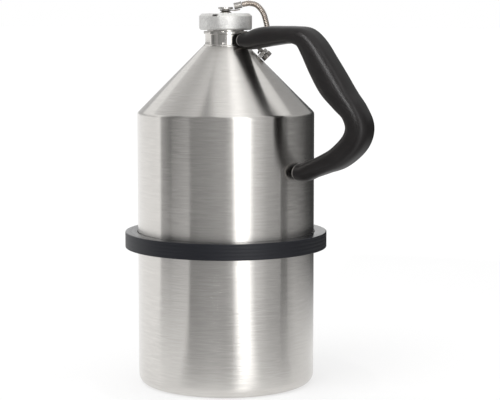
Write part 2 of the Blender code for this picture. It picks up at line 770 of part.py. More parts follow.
def guard_ring(finish):
    """Rubber bumper ring stretched round the body."""
    inner = BODY_RADIUS + CLEARANCE
    low, high = GUARD_FOOT_HEIGHT, GUARD_FOOT_HEIGHT + GUARD_HEIGHT
    round_radius = GUARD_CORNER_RADIUS
    centre = guard_radius - round_radius
    lower = arc((centre, low + round_radius), round_radius, -math.pi / 2, 0.0, 2)
    upper = arc((centre, high - round_radius), round_radius, 0.0, math.pi / 2, 2)
    outline = [
        (inner, low + GUARD_LIP_CHAMFER),
        (inner + GUARD_LIP_CHAMFER, low),
        *lower,
        *upper,
        (inner + GUARD_LIP_CHAMFER, high),
        (inner, high - GUARD_LIP_CHAMFER),
    ]
    return turned("guard_ring", outline, BODY_FACETS, finish)


def handle_path():
    """Middle line of the handle from the neck to the body, with its half depth."""
    stations = []
    for seat, half in ((upper_seat, HANDLE_UPPER_HALF), (lower_seat, HANDLE_LOWER_HALF)):
        for across, rise, depth in half:
            stations.append((seat.x + across, seat.z + rise, depth))
    inner_route = hermite_route(stations[1:-1], (1.0, 0.0, 0.0), (-1.0, 0.0, 0.0), 4)
    return Path([list(stations[0]), *inner_route, list(stations[-1])], 0.0)


def superellipse_ring(path, distance, shrink):
    """Cross-section of the grip: nearly oval at its ends and squarer between them."""
    centre, depth_direction, side = path.frame(distance)
    half_depth = path.values(distance)[2] - shrink
    half_width = HANDLE_HALF_WIDTH - shrink
    share = min(1.0, distance / HANDLE_END_REACH, (path.length - distance) / HANDLE_END_REACH)
    squareness = HANDLE_END_SQUARENESS + (HANDLE_SQUARENESS - HANDLE_END_SQUARENESS) * share
    power = 2.0 / squareness
    ring = []
    for i in range(GRIP_FACETS):
        angle = 2 * math.pi * (i + 0.5) / GRIP_FACETS
        across, along = math.cos(angle), math.sin(angle)
        wide = math.copysign(abs(across) ** power, across) * half_width
        deep = math.copysign(abs(along) ** power, along) * half_depth
        ring.append(centre + side * wide + depth_direction * deep)
    return ring


def handle_grip(finish):
    """Moulded grip, rounded at both ends, with a bore for the steel core."""
    path = handle_path()
    rounding = HANDLE_END_ROUNDING
    outer = []
    ends = (0.0, 0.3 * rounding, rounding)
    distances = [*ends[:-1], *spaced(rounding, path.length - rounding, HANDLE_STEP)]
    distances += [path.length - value for value in reversed(ends[:-1])]
    for distance in distances:
        margin = min(distance, path.length - distance)
        inside = max(0.0, 1.0 - margin / rounding)
        shrink = rounding * (1.0 - math.sqrt(max(0.0, 1.0 - inside**2)))
        outer.append(superellipse_ring(path, distance, shrink))
    recess = core_bore_radius + CUP_WALL + CLEARANCE
    recess_depth = CUP_LENGTH
    inner = [path.round_ring(0.0, recess, GRIP_FACETS), path.round_ring(recess_depth, recess, GRIP_FACETS)]
    for distance in spaced(recess_depth, path.length - recess_depth, HANDLE_STEP):
        inner.append(path.round_ring(distance, core_bore_radius, GRIP_FACETS))
    inner.append(path.round_ring(path.length - recess_depth, recess, GRIP_FACETS))
    inner.append(path.round_ring(path.length, recess, GRIP_FACETS))
    return swept("handle_grip", outer, inner, finish)


def handle_core(finish):
    """Bent steel bar inside the grip, held at both ends in the saddles' cups."""
    path = handle_path()
    plate = SADDLE_THICKNESS + 2 * CLEARANCE
    start = plate - HANDLE_UPPER_HALF[0][0]
    end = path.length + HANDLE_LOWER_HALF[-1][0] - plate
    distances = [start, *spaced(CUP_LENGTH, path.length - CUP_LENGTH, HANDLE_STEP), end]
    rings = [path.round_ring(distance, CORE_RADIUS, TUBE_FACETS) for distance in distances]
    return swept("handle_core", rings, [], finish)


def handle_saddle(name, wall_radius, seat, half_angle, low, high, cup_end, finish):
    """Curved plate welded to a round wall, with a cup that holds the end of the core."""
    inner = wall_radius + CLEARANCE
    outer = inner + SADDLE_THICKNESS
    steps = 8
    outline = []
    for radius, order in ((outer, range(steps + 1)), (inner, range(steps, -1, -1))):
        for i in order:
            angle = half_angle * (2.0 * i / steps - 1.0)
            outline.append((radius * math.cos(angle), radius * math.sin(angle)))
    plate = prism(name, outline, low, high, finish)
    bore = CORE_RADIUS + CLEARANCE
    wall = bore + CUP_WALL - CLEARANCE
    start = outer - SADDLE_THICKNESS / 2
    cup = turned(
        name + "_cup_guide",
        [(0.0, 0.0), (wall, 0.0), (wall, cup_end - start), (bore, cup_end - start),
         (bore, outer - start + CLEARANCE), (0.0, outer - start + CLEARANCE)],
        GRIP_FACETS, finish)
    axes = (Vector((0.0, 0.0, -1.0)), Vector((0.0, 1.0, 0.0)), Vector((1.0, 0.0, 0.0)))
    cup.matrix_world = frame_at(Vector((start, 0.0, seat.z)), *axes)
    combine(plate, cup, "UNION")
    return plate


def handle_saddles(finish):
    """The two saddles, on the neck and on the body."""
    upper_end = upper_seat.x + HANDLE_UPPER_HALF[0][0] + CUP_LENGTH - CLEARANCE
    lower_end = lower_seat.x + HANDLE_LOWER_HALF[-1][0] + CUP_LENGTH - CLEARANCE
    handle_saddle("handle_upper_saddle", NECK_RADIUS, upper_seat, UPPER_SADDLE_HALF_ANGLE,
                  neck_z + NECK_FOOT_HEIGHT + CLEARANCE, collar_z - CLEARANCE, upper_end, finish)
    handle_saddle("handle_lower_saddle", BODY_RADIUS, lower_seat, LOWER_SADDLE_HALF_ANGLE,
                  lower_seat.z - LOWER_SADDLE_HALF_HEIGHT, lower_seat.z + LOWER_SADDLE_HALF_HEIGHT,
                  lower_end, finish)


def tether_point(across, height):
    """World place of a point in the tether's plane."""
    outward = Vector((math.cos(TETHER_AZIMUTH), math.sin(TETHER_AZIMUTH), 0.0))
    return outward * across + Vector((0.0, 0.0, height))


def upper_ferrule_line():
    """Start of the upper ferrule in the tether's plane, and its direction."""
    lean = ferrule_radius * math.sin(UPPER_FERRULE_SLOPE)
    start = (STUD_FLANGE_RADIUS + UPPER_FERRULE_GAP + lean, cap_z + UPPER_FERRULE_RISE)
    return start, (math.cos(UPPER_FERRULE_SLOPE), math.sin(UPPER_FERRULE_SLOPE))


def anchor_axes():
    """Foot of the anchor on the shoulder, down-slope direction and outward normal."""
    foot = (anchor_radius, shoulder_surface(anchor_radius))
    slope = (math.cos(SHOULDER_SLOPE), -math.sin(SHOULDER_SLOPE))
    normal = (math.sin(SHOULDER_SLOPE), math.cos(SHOULDER_SLOPE))
    return foot, slope, normal


def lower_ferrule_line():
    """Centre of the lower eye in the tether's plane, and the direction of its ferrule."""
    foot, slope, normal = anchor_axes()
    centre = tuple(foot[k] + normal[k] * anchor_pin_height - slope[k] * ANCHOR_EYE_OFFSET for k in range(2))
    cosine, sine = math.cos(ANCHOR_EYE_TILT), math.sin(ANCHOR_EYE_TILT)
    direction = tuple(normal[k] * cosine - slope[k] * sine for k in range(2))
    return centre, direction


def along(start, direction, distance):
    return (start[0] + direction[0] * distance, start[1] + direction[1] * distance)


def tether_path():
    """Middle line of the sheath between the two ferrules."""
    upper, upper_direction = upper_ferrule_line()
    lower, lower_direction = lower_ferrule_line()
    first = along(upper, upper_direction, UPPER_FERRULE_LENGTH + CLEARANCE)
    first_bend = along(first, upper_direction, TETHER_END_STRAIGHT)
    reach = ANCHOR_SHANK_REACH + CLEARANCE + LOWER_FERRULE_LENGTH + CLEARANCE
    last = along(lower, lower_direction, reach)
    last_bend = along(last, lower_direction, TETHER_END_STRAIGHT)
    middle = [(across, cap_z + rise) for across, rise in TETHER_ROUTE]
    backwards = (-lower_direction[0], -lower_direction[1])
    curve = hermite_route([first_bend, *middle, last_bend], upper_direction, backwards, 6)
    return Path([list(first), *curve, list(last)], TETHER_AZIMUTH)


def tether_sheath(finish):
    """Wound steel sheath, ribbed outside, with a plain bore for the wire."""
    path = tether_path()
    ribs = round(path.length / SHEATH_RIB_PITCH)
    outer = []
    for i in range(2 * ribs + 1):
        radius = SHEATH_RADIUS if i % 2 else sheath_root_radius
        outer.append(path.round_ring(path.length * i / (2 * ribs), radius, TUBE_FACETS))
    inner = [path.round_ring(distance, sheath_bore_radius, TUBE_FACETS) for distance in wire_marks(path)]
    print(f"tether_sheath length {path.length / MM:.1f} mm with {ribs} ribs")
    return swept("tether_sheath", outer, inner, finish)


def wire_marks(path):
    """Distances along the tether at which the wire and the bore round it bend."""
    return spaced(0.0, path.length, SHEATH_RADIUS)


def tether_wire(finish):
    """Steel wire rope inside the sheath, crimped into both ferrules."""
    path = tether_path()
    tail = FERRULE_SOCKET_DEPTH - CLEARANCE
    distances = [-tail, *wire_marks(path), path.length + tail]
    rings = [path.round_ring(distance, WIRE_RADIUS, TUBE_FACETS) for distance in distances]
    return swept("tether_wire", rings, [], finish)


def ferrule(name, start, direction, length, finish):
    """Crimped sleeve with a collar at its mouth, from a start point along a direction."""
    socket_radius = sheath_bore_radius
    collar = length - FERRULE_COLLAR_LENGTH
    outline = [
        (0.0, 0.0),
        (ferrule_radius, 0.0),
        (ferrule_radius, collar),
        (ferrule_collar_radius, collar),
        (ferrule_collar_radius, length),
        (socket_radius, length),
        (socket_radius, length - FERRULE_SOCKET_DEPTH),
        (0.0, length - FERRULE_SOCKET_DEPTH),
    ]
    sleeve = turned(name, outline, GRIP_FACETS, finish)
    z_axis = tether_point(*direction)
    y_axis = Vector((-math.sin(TETHER_AZIMUTH), math.cos(TETHER_AZIMUTH), 0.0))
    sleeve.matrix_world = frame_at(tether_point(*start), y_axis.cross(z_axis), y_axis, z_axis)
    return sleeve


def tether_eye(finish):
    """Ring round the swivel stud with an arm bent up along the ferrule's underside."""
    stud_flange_low = cap_top_z + CLEARANCE + STUD_HEIGHT
    high = stud_flange_low - CLEARANCE
    low = high - EYE_THICKNESS
    ring_outline = [
        (eye_outer_radius, low),
        (eye_outer_radius, high),
        (eye_inner_radius, high),
        (eye_inner_radius, low),
    ]
    eye = turned("tether_eye", ring_outline, SMALL_FACETS, finish)
    half = EYE_ARM_WIDTH / 2
    arm = prism("eye_arm_guide", eye_arm_profile(low, high), -half, half, finish)
    x_axis, upward = Vector((1.0, 0.0, 0.0)), Vector((0.0, 0.0, 1.0))
    arm.matrix_world = frame_at(Vector((0.0, 0.0, 0.0)), x_axis, upward, x_axis.cross(upward))
    combine(eye, arm, "UNION")
    place(eye, Matrix.Rotation(TETHER_AZIMUTH, 4, "Z"))
    return eye


def eye_arm_profile(low, high):
    """Side outline of the eye's arm, from the ring to below the middle of the ferrule."""
    start, direction = upper_ferrule_line()
    down = (direction[1], -direction[0])
    upper_bend = along(start, down, ferrule_radius + CLEARANCE)
    lower_bend = along(upper_bend, down, EYE_THICKNESS)
    root = (eye_inner_radius + eye_outer_radius) / 2
    inset = CLEARANCE / 2
    return [
        (root, low + inset),
        lower_bend,
        along(lower_bend, direction, EYE_ARM_REACH),
        along(upper_bend, direction, EYE_ARM_REACH),
        upper_bend,
        (root, high - inset),
    ]


def anchor_frame():
    """Placing matrix of the anchor: X down the slope, Z out of the shoulder."""
    foot, slope, normal = anchor_axes()
    y_axis = Vector((-math.sin(TETHER_AZIMUTH), math.cos(TETHER_AZIMUTH), 0.0))
    return frame_at(tether_point(*foot), tether_point(*slope), y_axis, tether_point(*normal))


def lying(name, outline, facets, finish, x, z):
    """Turned piece with its axis along local X, at a local place."""
    piece = turned(name, outline, facets, finish)
    axes = (Vector((0.0, 0.0, -1.0)), Vector((0.0, 1.0, 0.0)), Vector((1.0, 0.0, 0.0)))
    piece.matrix_world = frame_at(Vector((x, 0.0, z)), *axes)
    return piece


def anchor_boss(finish):
    """Boss welded to the shoulder by its foot plate, drilled for the pin."""
    length = ANCHOR_BOSS_LENGTH
    bore = PIN_RADIUS + PIN_BORE_CLEARANCE
    low = CLEARANCE
    half = ANCHOR_FOOT_WIDTH / 2
    foot = prism("anchor_boss", [(0.0, -half), (length, -half), (length, half), (0.0, half)],
                 low, low + ANCHOR_FOOT_THICKNESS, finish)
    web_half = ANCHOR_WEB_WIDTH / 2
    web = prism("anchor_web_guide",
                [(CLEARANCE, -web_half), (length - CLEARANCE, -web_half),
                 (length - CLEARANCE, web_half), (CLEARANCE, web_half)],
                low + ANCHOR_FOOT_THICKNESS / 2, anchor_pin_height, finish)
    drum = lying("anchor_drum_guide",
                 [(0.0, 0.0), (ANCHOR_BOSS_RADIUS, 0.0), (ANCHOR_BOSS_RADIUS, length - CLEARANCE / 2),
                  (0.0, length - CLEARANCE / 2)],
                 SMALL_FACETS, finish, CLEARANCE / 2, anchor_pin_height)
    drill = lying("anchor_drill_guide",
                  [(0.0, 0.0), (bore, 0.0), (bore, 3 * length), (0.0, 3 * length)],
                  SMALL_FACETS, finish, -length, anchor_pin_height)
    combine(foot, web, "UNION")
    combine(foot, drum, "UNION")
    combine(foot, drill, "DIFFERENCE")
    place(foot, anchor_frame())
    return foot


def anchor_pin(finish):
    """Rivet with a broad head, through the boss and the lower eye."""
    eye_span = ANCHOR_EYE_OFFSET * 2
    head_x = ANCHOR_BOSS_LENGTH + CLEARANCE
    tail_x = -eye_span
    grip = head_x - tail_x
    edge = PIN_HEAD_CHAMFER
    outline = [
        (0.0, -PIN_TAIL_THICKNESS),
        (PIN_TAIL_RADIUS, -PIN_TAIL_THICKNESS),
        (PIN_TAIL_RADIUS, 0.0),
        (PIN_RADIUS, 0.0),
        (PIN_RADIUS, grip),
        (PIN_HEAD_RADIUS, grip),
        (PIN_HEAD_RADIUS, grip + PIN_HEAD_THICKNESS - edge),
        (PIN_HEAD_RADIUS - edge, grip + PIN_HEAD_THICKNESS),
        (0.0, grip + PIN_HEAD_THICKNESS),
    ]
    pin = lying("anchor_pin", outline, SMALL_FACETS, finish, tail_x, anchor_pin_height)
    place(pin, anchor_frame())
    return pin


def anchor_eye(finish):
    """Lower eye of the tether, hung loosely on the pin, with a shank up to its ferrule."""
    half = ANCHOR_EYE_THICKNESS / 2
    outline = [
        (anchor_eye_radius, -half),
        (anchor_eye_radius, half),
        (anchor_eye_bore, half),
        (anchor_eye_bore, -half),
    ]
    eye = lying("anchor_eye", outline, SMALL_FACETS, finish, 0.0, 0.0)
    root = (anchor_eye_radius + anchor_eye_bore) / 2
    shank_radius = ANCHOR_SHANK_RADIUS
    shank = turned("anchor_shank_guide",
                   [(0.0, root), (shank_radius, root), (shank_radius, ANCHOR_SHANK_REACH),
                    (0.0, ANCHOR_SHANK_REACH)],
                   SHANK_FACETS, finish)
    combine(eye, shank, "UNION")
    centre = Matrix.Translation((-ANCHOR_EYE_OFFSET, 0.0, anchor_pin_height))
    tilt = Matrix.Rotation(-ANCHOR_EYE_TILT, 4, "Y")
    place(eye, anchor_frame() @ centre @ tilt)
    return eye


def build():
    clear_scene()
    brushed = material("brushed_stainless", (0.62, 0.61, 0.59), 0.32, 1.0)
    polished = material("polished_stainless", (0.70, 0.69, 0.68), 0.12, 1.0)
    blasted = material("blasted_stainless", (0.66, 0.66, 0.63), 0.45, 1.0)
    rubber = material("black_rubber", (0.035, 0.035, 0.037), 0.55, 0.0)
    plastic = material("black_plastic", (0.028, 0.026, 0.026), 0.48, 0.0)
    wound_steel = material("wound_steel", (0.42, 0.36, 0.31), 0.40, 1.0)
    seal = material("seal_rubber", (0.05, 0.05, 0.05), 0.60, 0.0)

    body_shell(brushed)
    shoulder_cone(brushed)
    guard_ring(rubber)
    neck_socket(polished)
    arrester_basket(brushed)
    snap_ring(polished)
    handle_grip(plastic)
    handle_core(brushed)
    handle_saddles(brushed)
    cap_shell(blasted)
    cap_gasket(seal)
    valve_body(polished)
    valve_seal(seal)
    valve_poppet(polished)
    valve_spring(polished)
    swivel_stud(polished)
    stud_washer(polished)
    tether_eye(polished)
    upper, upper_direction = upper_ferrule_line()
    ferrule("tether_ferrule_upper", upper, upper_direction, UPPER_FERRULE_LENGTH, polished)
    tether_sheath(wound_steel)
    tether_wire(wound_steel)
    lower, lower_direction = lower_ferrule_line()
    lower_start = along(lower, lower_direction, ANCHOR_SHANK_REACH + CLEARANCE)
    ferrule("tether_ferrule_lower", lower_start, lower_direction, LOWER_FERRULE_LENGTH, polished)
    anchor_eye(polished)
    anchor_boss(polished)
    anchor_pin(polished)
    bpy.context.view_layer.update()


build()
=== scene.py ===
"""Looks of a stainless steel safety can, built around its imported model.

The can stands on the floor at z = 0 with its axis on Z, and its carrying handle lies in
the XZ plane on the +X side. Lengths are in metres.
"""
import math

import bmesh
import bpy
from mathutils import Matrix, Vector


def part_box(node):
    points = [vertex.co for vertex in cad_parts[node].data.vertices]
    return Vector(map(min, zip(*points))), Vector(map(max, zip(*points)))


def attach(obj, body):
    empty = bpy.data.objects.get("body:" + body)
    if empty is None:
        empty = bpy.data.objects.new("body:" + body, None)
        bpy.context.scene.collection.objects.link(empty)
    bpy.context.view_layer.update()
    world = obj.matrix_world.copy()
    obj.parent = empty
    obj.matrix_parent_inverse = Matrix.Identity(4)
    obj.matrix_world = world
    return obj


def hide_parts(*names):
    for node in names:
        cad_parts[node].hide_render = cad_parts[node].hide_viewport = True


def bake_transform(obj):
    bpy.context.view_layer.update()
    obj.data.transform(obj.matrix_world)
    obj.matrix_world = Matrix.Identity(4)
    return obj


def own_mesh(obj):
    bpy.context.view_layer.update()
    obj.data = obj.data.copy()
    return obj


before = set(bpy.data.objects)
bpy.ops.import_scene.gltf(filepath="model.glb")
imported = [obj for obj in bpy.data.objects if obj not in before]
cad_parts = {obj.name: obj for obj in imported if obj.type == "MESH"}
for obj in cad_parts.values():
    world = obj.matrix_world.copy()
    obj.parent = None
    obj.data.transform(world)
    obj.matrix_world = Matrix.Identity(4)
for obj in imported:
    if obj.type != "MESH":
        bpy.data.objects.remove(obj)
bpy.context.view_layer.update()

MM = 0.001

# Body: a deep-drawn cup of stainless sheet with a rounded foot, brushed round its axis
# on a lathe. The brushing leaves fine horizontal lines and smears what the steel
# mirrors into upright bands.
shell_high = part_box("body_shell")[1]
BODY_RADIUS = shell_high.x
BODY_WALL = 1.2 * MM
BASE_CORNER = 9.0 * MM
CLEARANCE = 0.3 * MM
ROUND_STEPS = 192
SHARP_EDGE = math.radians(34.0)


def rounded(corners, closed, steps=5):
    """Outline through (radius, height, rounding) corners, with each corner cut round."""
    points = []
    count = len(corners)
    for i, corner in enumerate(corners):
        place = Vector(corner[:2])
        cut = corner[2] if len(corner) > 2 else 0.0
        if cut == 0.0 or (not closed and i in (0, count - 1)):
            points.append(tuple(place))
            continue
        before = Vector(corners[i - 1][:2]) - place
        after = Vector(corners[(i + 1) % count][:2]) - place
        start = place + before.normalized() * cut
        end = place + after.normalized() * cut
        for step in range(steps + 1):
            t = step / steps
            points.append(tuple(start * (1 - t) ** 2 + place * (2 * t * (1 - t)) + end * t**2))
    return points


def join_rings(mesh_data, first, second):
    """Faces between two rings of vertices, either of which may be a single pole."""
    count = max(len(first), len(second))
    for i in range(count):
        j = (i + 1) % count
        corners = (first[i % len(first)], first[j % len(first)],
                   second[j % len(second)], second[i % len(second)])
        mesh_data.faces.new(dict.fromkeys(corners))


def turned(outline, steps=ROUND_STEPS, wave=None):
    """Mesh of revolution about Z. A wave moves a point out by its height and angle."""
    mesh_data = bmesh.new()
    rings = []
    for point in outline:
        radius, height = point[0], point[1]
        if radius == 0.0:
            rings.append([mesh_data.verts.new((0.0, 0.0, height))])
            continue
        ring = []
        for i in range(steps):
            angle = 2 * math.pi * i / steps
            reach = radius + wave(point, angle) if wave else radius
            ring.append(mesh_data.verts.new((reach * math.cos(angle), reach * math.sin(angle), height)))
        rings.append(ring)
    for first, second in zip(rings, rings[1:]):
        join_rings(mesh_data, first, second)
    if len(rings[0]) > 1:
        join_rings(mesh_data, rings[-1], rings[0])
    return mesh_data


def add_piece(name, mesh_data, finish, body, node_name, place=None):
    """Make an object from a mesh, let it ride on a body and stand for a CAD node."""
    bmesh.ops.recalc_face_normals(mesh_data, faces=mesh_data.faces)
    mesh = bpy.data.meshes.new(name)
    mesh_data.to_mesh(mesh)
    mesh_data.free()
    if place:
        mesh.transform(place)
    mesh.shade_smooth()
    mesh.set_sharp_from_angle(angle=SHARP_EDGE)
    mesh.materials.append(finish)
    piece = bpy.data.objects.new(name, mesh)
    bpy.context.scene.collection.objects.link(piece)
    if body:
        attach(piece, body)
    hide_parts(node_name)
    return piece


def node_group(name, inputs, outputs):
    """Empty shader node group with float inputs (name: default) and float outputs."""
    group = bpy.data.node_groups.new(name, "ShaderNodeTree")
    for label, value in inputs.items():
        socket = group.interface.new_socket(label, in_out="INPUT", socket_type="NodeSocketFloat")
        socket.default_value = value
    for label in outputs:
        group.interface.new_socket(label, in_out="OUTPUT", socket_type="NodeSocketFloat")
    return group, group.nodes.new("NodeGroupInput"), group.nodes.new("NodeGroupOutput")


def math_node(tree, operation, *values):
    """Math node whose inputs are sockets or plain numbers."""
    node = tree.nodes.new("ShaderNodeMath")
    node.operation = operation
    for slot, value in zip(node.inputs, values):
        if isinstance(value, (int, float)):
            slot.default_value = value
        else:
            tree.links.new(value, slot)
    return node.outputs[0]


def noise_node(tree, vector, scale, detail, roughness=0.5):
    """Noise from 0 to 1 at a place, with its scale in grains per unit of that place."""
    node = tree.nodes.new("ShaderNodeTexNoise")
    node.inputs["Scale"].default_value = scale
    node.inputs["Detail"].default_value = detail
    node.inputs["Roughness"].default_value = roughness
    tree.links.new(vector, node.inputs["Vector"])
    return node.outputs["Fac"]


def weighed(tree, first, first_weight, second, second_weight):
    """Sum of two values, each times its weight."""
    return math_node(tree, "ADD", math_node(tree, "MULTIPLY", first, first_weight),
                     math_node(tree, "MULTIPLY", second, second_weight))


def separated(tree, vector):
    """X, Y and Z of a vector."""
    node = tree.nodes.new("ShaderNodeSeparateXYZ")
    tree.links.new(vector, node.inputs[0])
    return node.outputs


def place_on_piece(tree):
    """Place on the surface in the object's own metres."""
    return tree.nodes.new("ShaderNodeTexCoord").outputs["Object"]


def lathe_marks_group():
    """Fine lines round the Z axis, with how many cross a metre, and broad soft clouds."""
    group, given, result = node_group("lathe_marks", {"Lines": 1500.0, "Arc": 12.0},
                                      ("Streaks", "Clouds"))
    place = place_on_piece(group)
    x, y, z = separated(group, place)
    radius = math_node(group, "SQRT", weighed(group, x, x, y, y))
    across = math_node(group, "MULTIPLY", math_node(group, "SUBTRACT", z, radius), given.outputs["Lines"])
    stretched = group.nodes.new("ShaderNodeCombineXYZ")
    for slot, value in zip(stretched.inputs, (x, y)):
        group.links.new(math_node(group, "MULTIPLY", value, given.outputs["Arc"]), slot)
    group.links.new(across, stretched.inputs["Z"])
    group.links.new(noise_node(group, stretched.outputs[0], 1.0, 3.0, 0.6), result.inputs["Streaks"])
    group.links.new(noise_node(group, place, 18.0, 3.0), result.inputs["Clouds"])
    return group


lathe_marks = lathe_marks_group()
QUARTER_TURN = 0.25
NOISE_LOW = 0.25
NOISE_HIGH = 0.75


def shader_material(name, roughness, metallic):
    """Material with a Principled shader, and its tree and shader for further links."""
    made = bpy.data.materials.new(name)
    made.use_nodes = True
    shader = made.node_tree.nodes["Principled BSDF"]
    shader.inputs["Roughness"].default_value = roughness
    shader.inputs["Metallic"].default_value = metallic
    return made, made.node_tree, shader


def placed_group(tree, group, **values):
    """Outputs of a node group that is placed with its own input values."""
    node = tree.nodes.new("ShaderNodeGroup")
    node.node_tree = group
    for label, value in values.items():
        node.inputs[label].default_value = value
    return node.outputs


def ranged(tree, value, low, high):
    """Noise between its usual limits spread from low to high."""
    node = tree.nodes.new("ShaderNodeMapRange")
    tree.links.new(value, node.inputs["Value"])
    node.inputs["From Min"].default_value = NOISE_LOW
    node.inputs["From Max"].default_value = NOISE_HIGH
    node.inputs["To Min"].default_value = low
    node.inputs["To Max"].default_value = high
    return node.outputs["Result"]


def blended_colour(tree, share, first, second):
    """Colour that goes from the first to the second as the share goes from 0 to 1."""
    node = tree.nodes.new("ShaderNodeMix")
    node.data_type = "RGBA"
    tree.links.new(share, node.inputs["Factor"])
    node.inputs["A"].default_value = (*first, 1.0)
    node.inputs["B"].default_value = (*second, 1.0)
    return node.outputs["Result"]


def surfaced(tree, shader, colour, roughness):
    """Link a colour and a roughness that change over the surface."""
    tree.links.new(colour, shader.inputs["Base Color"])
    tree.links.new(roughness, shader.inputs["Roughness"])


def bumped(tree, shader, height, distance):
    """Raise a shader's surface by a height from 0 to 1, times a distance."""
    node = tree.nodes.new("ShaderNodeBump")
    node.inputs["Distance"].default_value = distance
    tree.links.new(height, node.inputs["Height"])
    tree.links.new(node.outputs["Normal"], shader.inputs["Normal"])


def lathe_finish(name, light, dark, roughness, anisotropy, lines, arc, depth):
    """Steel worked on a lathe: darker and lighter lines round the axis, smeared gloss."""
    made, tree, shader = shader_material(name, roughness[0], 1.0)
    marks = placed_group(tree, lathe_marks, Lines=lines, Arc=arc)
    streaks = marks["Streaks"]
    colour = blended_colour(tree, ranged(tree, streaks, 0.0, 1.0), dark, light)
    mixed = weighed(tree, streaks, 0.6, marks["Clouds"], 0.4)
    surfaced(tree, shader, colour, ranged(tree, mixed, *roughness))
    shader.inputs["Anisotropic"].default_value = anisotropy
    shader.inputs["Anisotropic Rotation"].default_value = QUARTER_TURN
    tangent = tree.nodes.new("ShaderNodeTangent")
    tangent.direction_type = "RADIAL"
    tangent.axis = "Z"
    tree.links.new(tangent.outputs[0], shader.inputs["Tangent"])
    bumped(tree, shader, streaks, depth)
    return made


brushed = lathe_finish("brushed_stainless_steel", light=(0.735, 0.715, 0.685), dark=(0.61, 0.59, 0.565),
                       roughness=(0.18, 0.28), anisotropy=0.98, lines=1500.0, arc=60.0, depth=0.002 * MM)

shell_top = shell_high.z + CLEARANCE
body_outline = rounded([
    (0.0, 0.0),
    (BODY_RADIUS, 0.0, BASE_CORNER),
    (BODY_RADIUS, shell_top),
    (BODY_RADIUS - BODY_WALL, shell_top),
    (BODY_RADIUS - BODY_WALL, BODY_WALL, BASE_CORNER - BODY_WALL),
    (0.0, BODY_WALL),
], closed=False, steps=10)
add_piece("can_body", turned(body_outline), brushed, "can", "body_shell")


# Shoulder: a 45 degree cone pressed from the same sheet, lapped inside the body and
# welded, then ground flush so that only its rounded knuckle shows. A hole at its top
# takes the neck.
KNUCKLE_RADIUS = 4.0 * MM
SHOULDER_SLOPE = math.radians(45.0)
shoulder_low, shoulder_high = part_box("shoulder_cone")
shoulder_top = shoulder_high.z
skirt_radius = BODY_RADIUS - BODY_WALL - CLEARANCE
knuckle_cut = KNUCKLE_RADIUS * math.tan(SHOULDER_SLOPE / 2)
knee_height = shell_top + knuckle_cut
shoulder_hole = BODY_RADIUS - (shoulder_top - knee_height) / math.tan(SHOULDER_SLOPE)
sheet_drop = BODY_WALL / math.cos(SHOULDER_SLOPE)


def cone_height(radius):
    """Height of the sloping shoulder at a distance from the axis."""
    return knee_height + (BODY_RADIUS - radius) * math.tan(SHOULDER_SLOPE)


shoulder_outline = rounded([
    (shoulder_hole, shoulder_top),
    (BODY_RADIUS, knee_height, knuckle_cut),
    (BODY_RADIUS, shell_top),
    (skirt_radius, shell_top),
    (skirt_radius, shoulder_low.z),
    (skirt_radius - BODY_WALL, shoulder_low.z),
    (skirt_radius - BODY_WALL, cone_height(skirt_radius - BODY_WALL) - sheet_drop),
    (shoulder_hole, shoulder_top - sheet_drop),
], closed=True, steps=8)
add_piece("can_shoulder", turned(shoulder_outline), brushed, "can",
          "shoulder_cone")


# Guard ring: a moulded rubber hoop stretched over the body at half height. Its rim is
# rounded, and the mould's turned cavity leaves faint lines round its outer face.
guard_low, guard_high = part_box("guard_ring")
GUARD_RADIUS = guard_high.x
GUARD_ROUNDING = 0.8 * MM
GUARD_LINES = (0.2, 0.42, 0.64, 0.86)
GUARD_LINE_DEPTH = 0.12 * MM
GUARD_LINE_HALF_WIDTH = 0.5 * MM
GUARD_BORE = BODY_RADIUS + CLEARANCE
GUARD_LIP = 0.8 * MM
GUARD_TOP_SMOOTHNESS = 0.30
FINE_EDGE = 0.2 * MM


def guard_material():
    """Black rubber, finely lined by the mould and wiped smoother on its top face."""
    made, tree, shader = shader_material("moulded_black_rubber", 0.5, 0.0)
    marks = placed_group(tree, lathe_marks, Lines=700.0, Arc=5.0)
    mixed = weighed(tree, marks["Streaks"], 0.5, marks["Clouds"], 0.5)
    colour = blended_colour(tree, ranged(tree, mixed, 0.0, 1.0),
                            (0.006, 0.007, 0.011), (0.012, 0.013, 0.019))
    facing = separated(tree, tree.nodes.new("ShaderNodeTexCoord").outputs["Normal"])
    upturned = math_node(tree, "MAXIMUM", facing["Z"], 0.0)
    roughness = weighed(tree, ranged(tree, mixed, 0.44, 0.56), 1.0, upturned, -GUARD_TOP_SMOOTHNESS)
    surfaced(tree, shader, colour, roughness)
    shader.inputs["Specular IOR Level"].default_value = 0.36
    bumped(tree, shader, marks["Streaks"], 0.03 * MM)
    return made


def guard_outline():
    """Section of the ring, with shallow lines at shares of its height in its outer face."""
    corners = [
        (GUARD_BORE, guard_low.z + GUARD_LIP, FINE_EDGE),
        (GUARD_BORE + GUARD_LIP, guard_low.z, FINE_EDGE),
        (GUARD_RADIUS, guard_low.z, GUARD_ROUNDING),
    ]
    height = guard_high.z - guard_low.z
    for share in GUARD_LINES:
        middle = guard_low.z + share * height
        for side, depth in ((-1, 0.0), (0, GUARD_LINE_DEPTH), (1, 0.0)):
            corners.append((GUARD_RADIUS - depth, middle + side * GUARD_LINE_HALF_WIDTH))
    corners += [
        (GUARD_RADIUS, guard_high.z, GUARD_ROUNDING),
        (GUARD_BORE + GUARD_LIP, guard_high.z, FINE_EDGE),
        (GUARD_BORE, guard_high.z - GUARD_LIP, FINE_EDGE),
    ]
    return rounded(corners, closed=True)


add_piece("rubber_guard", turned(guard_outline()), guard_material(), "can", "guard_ring")


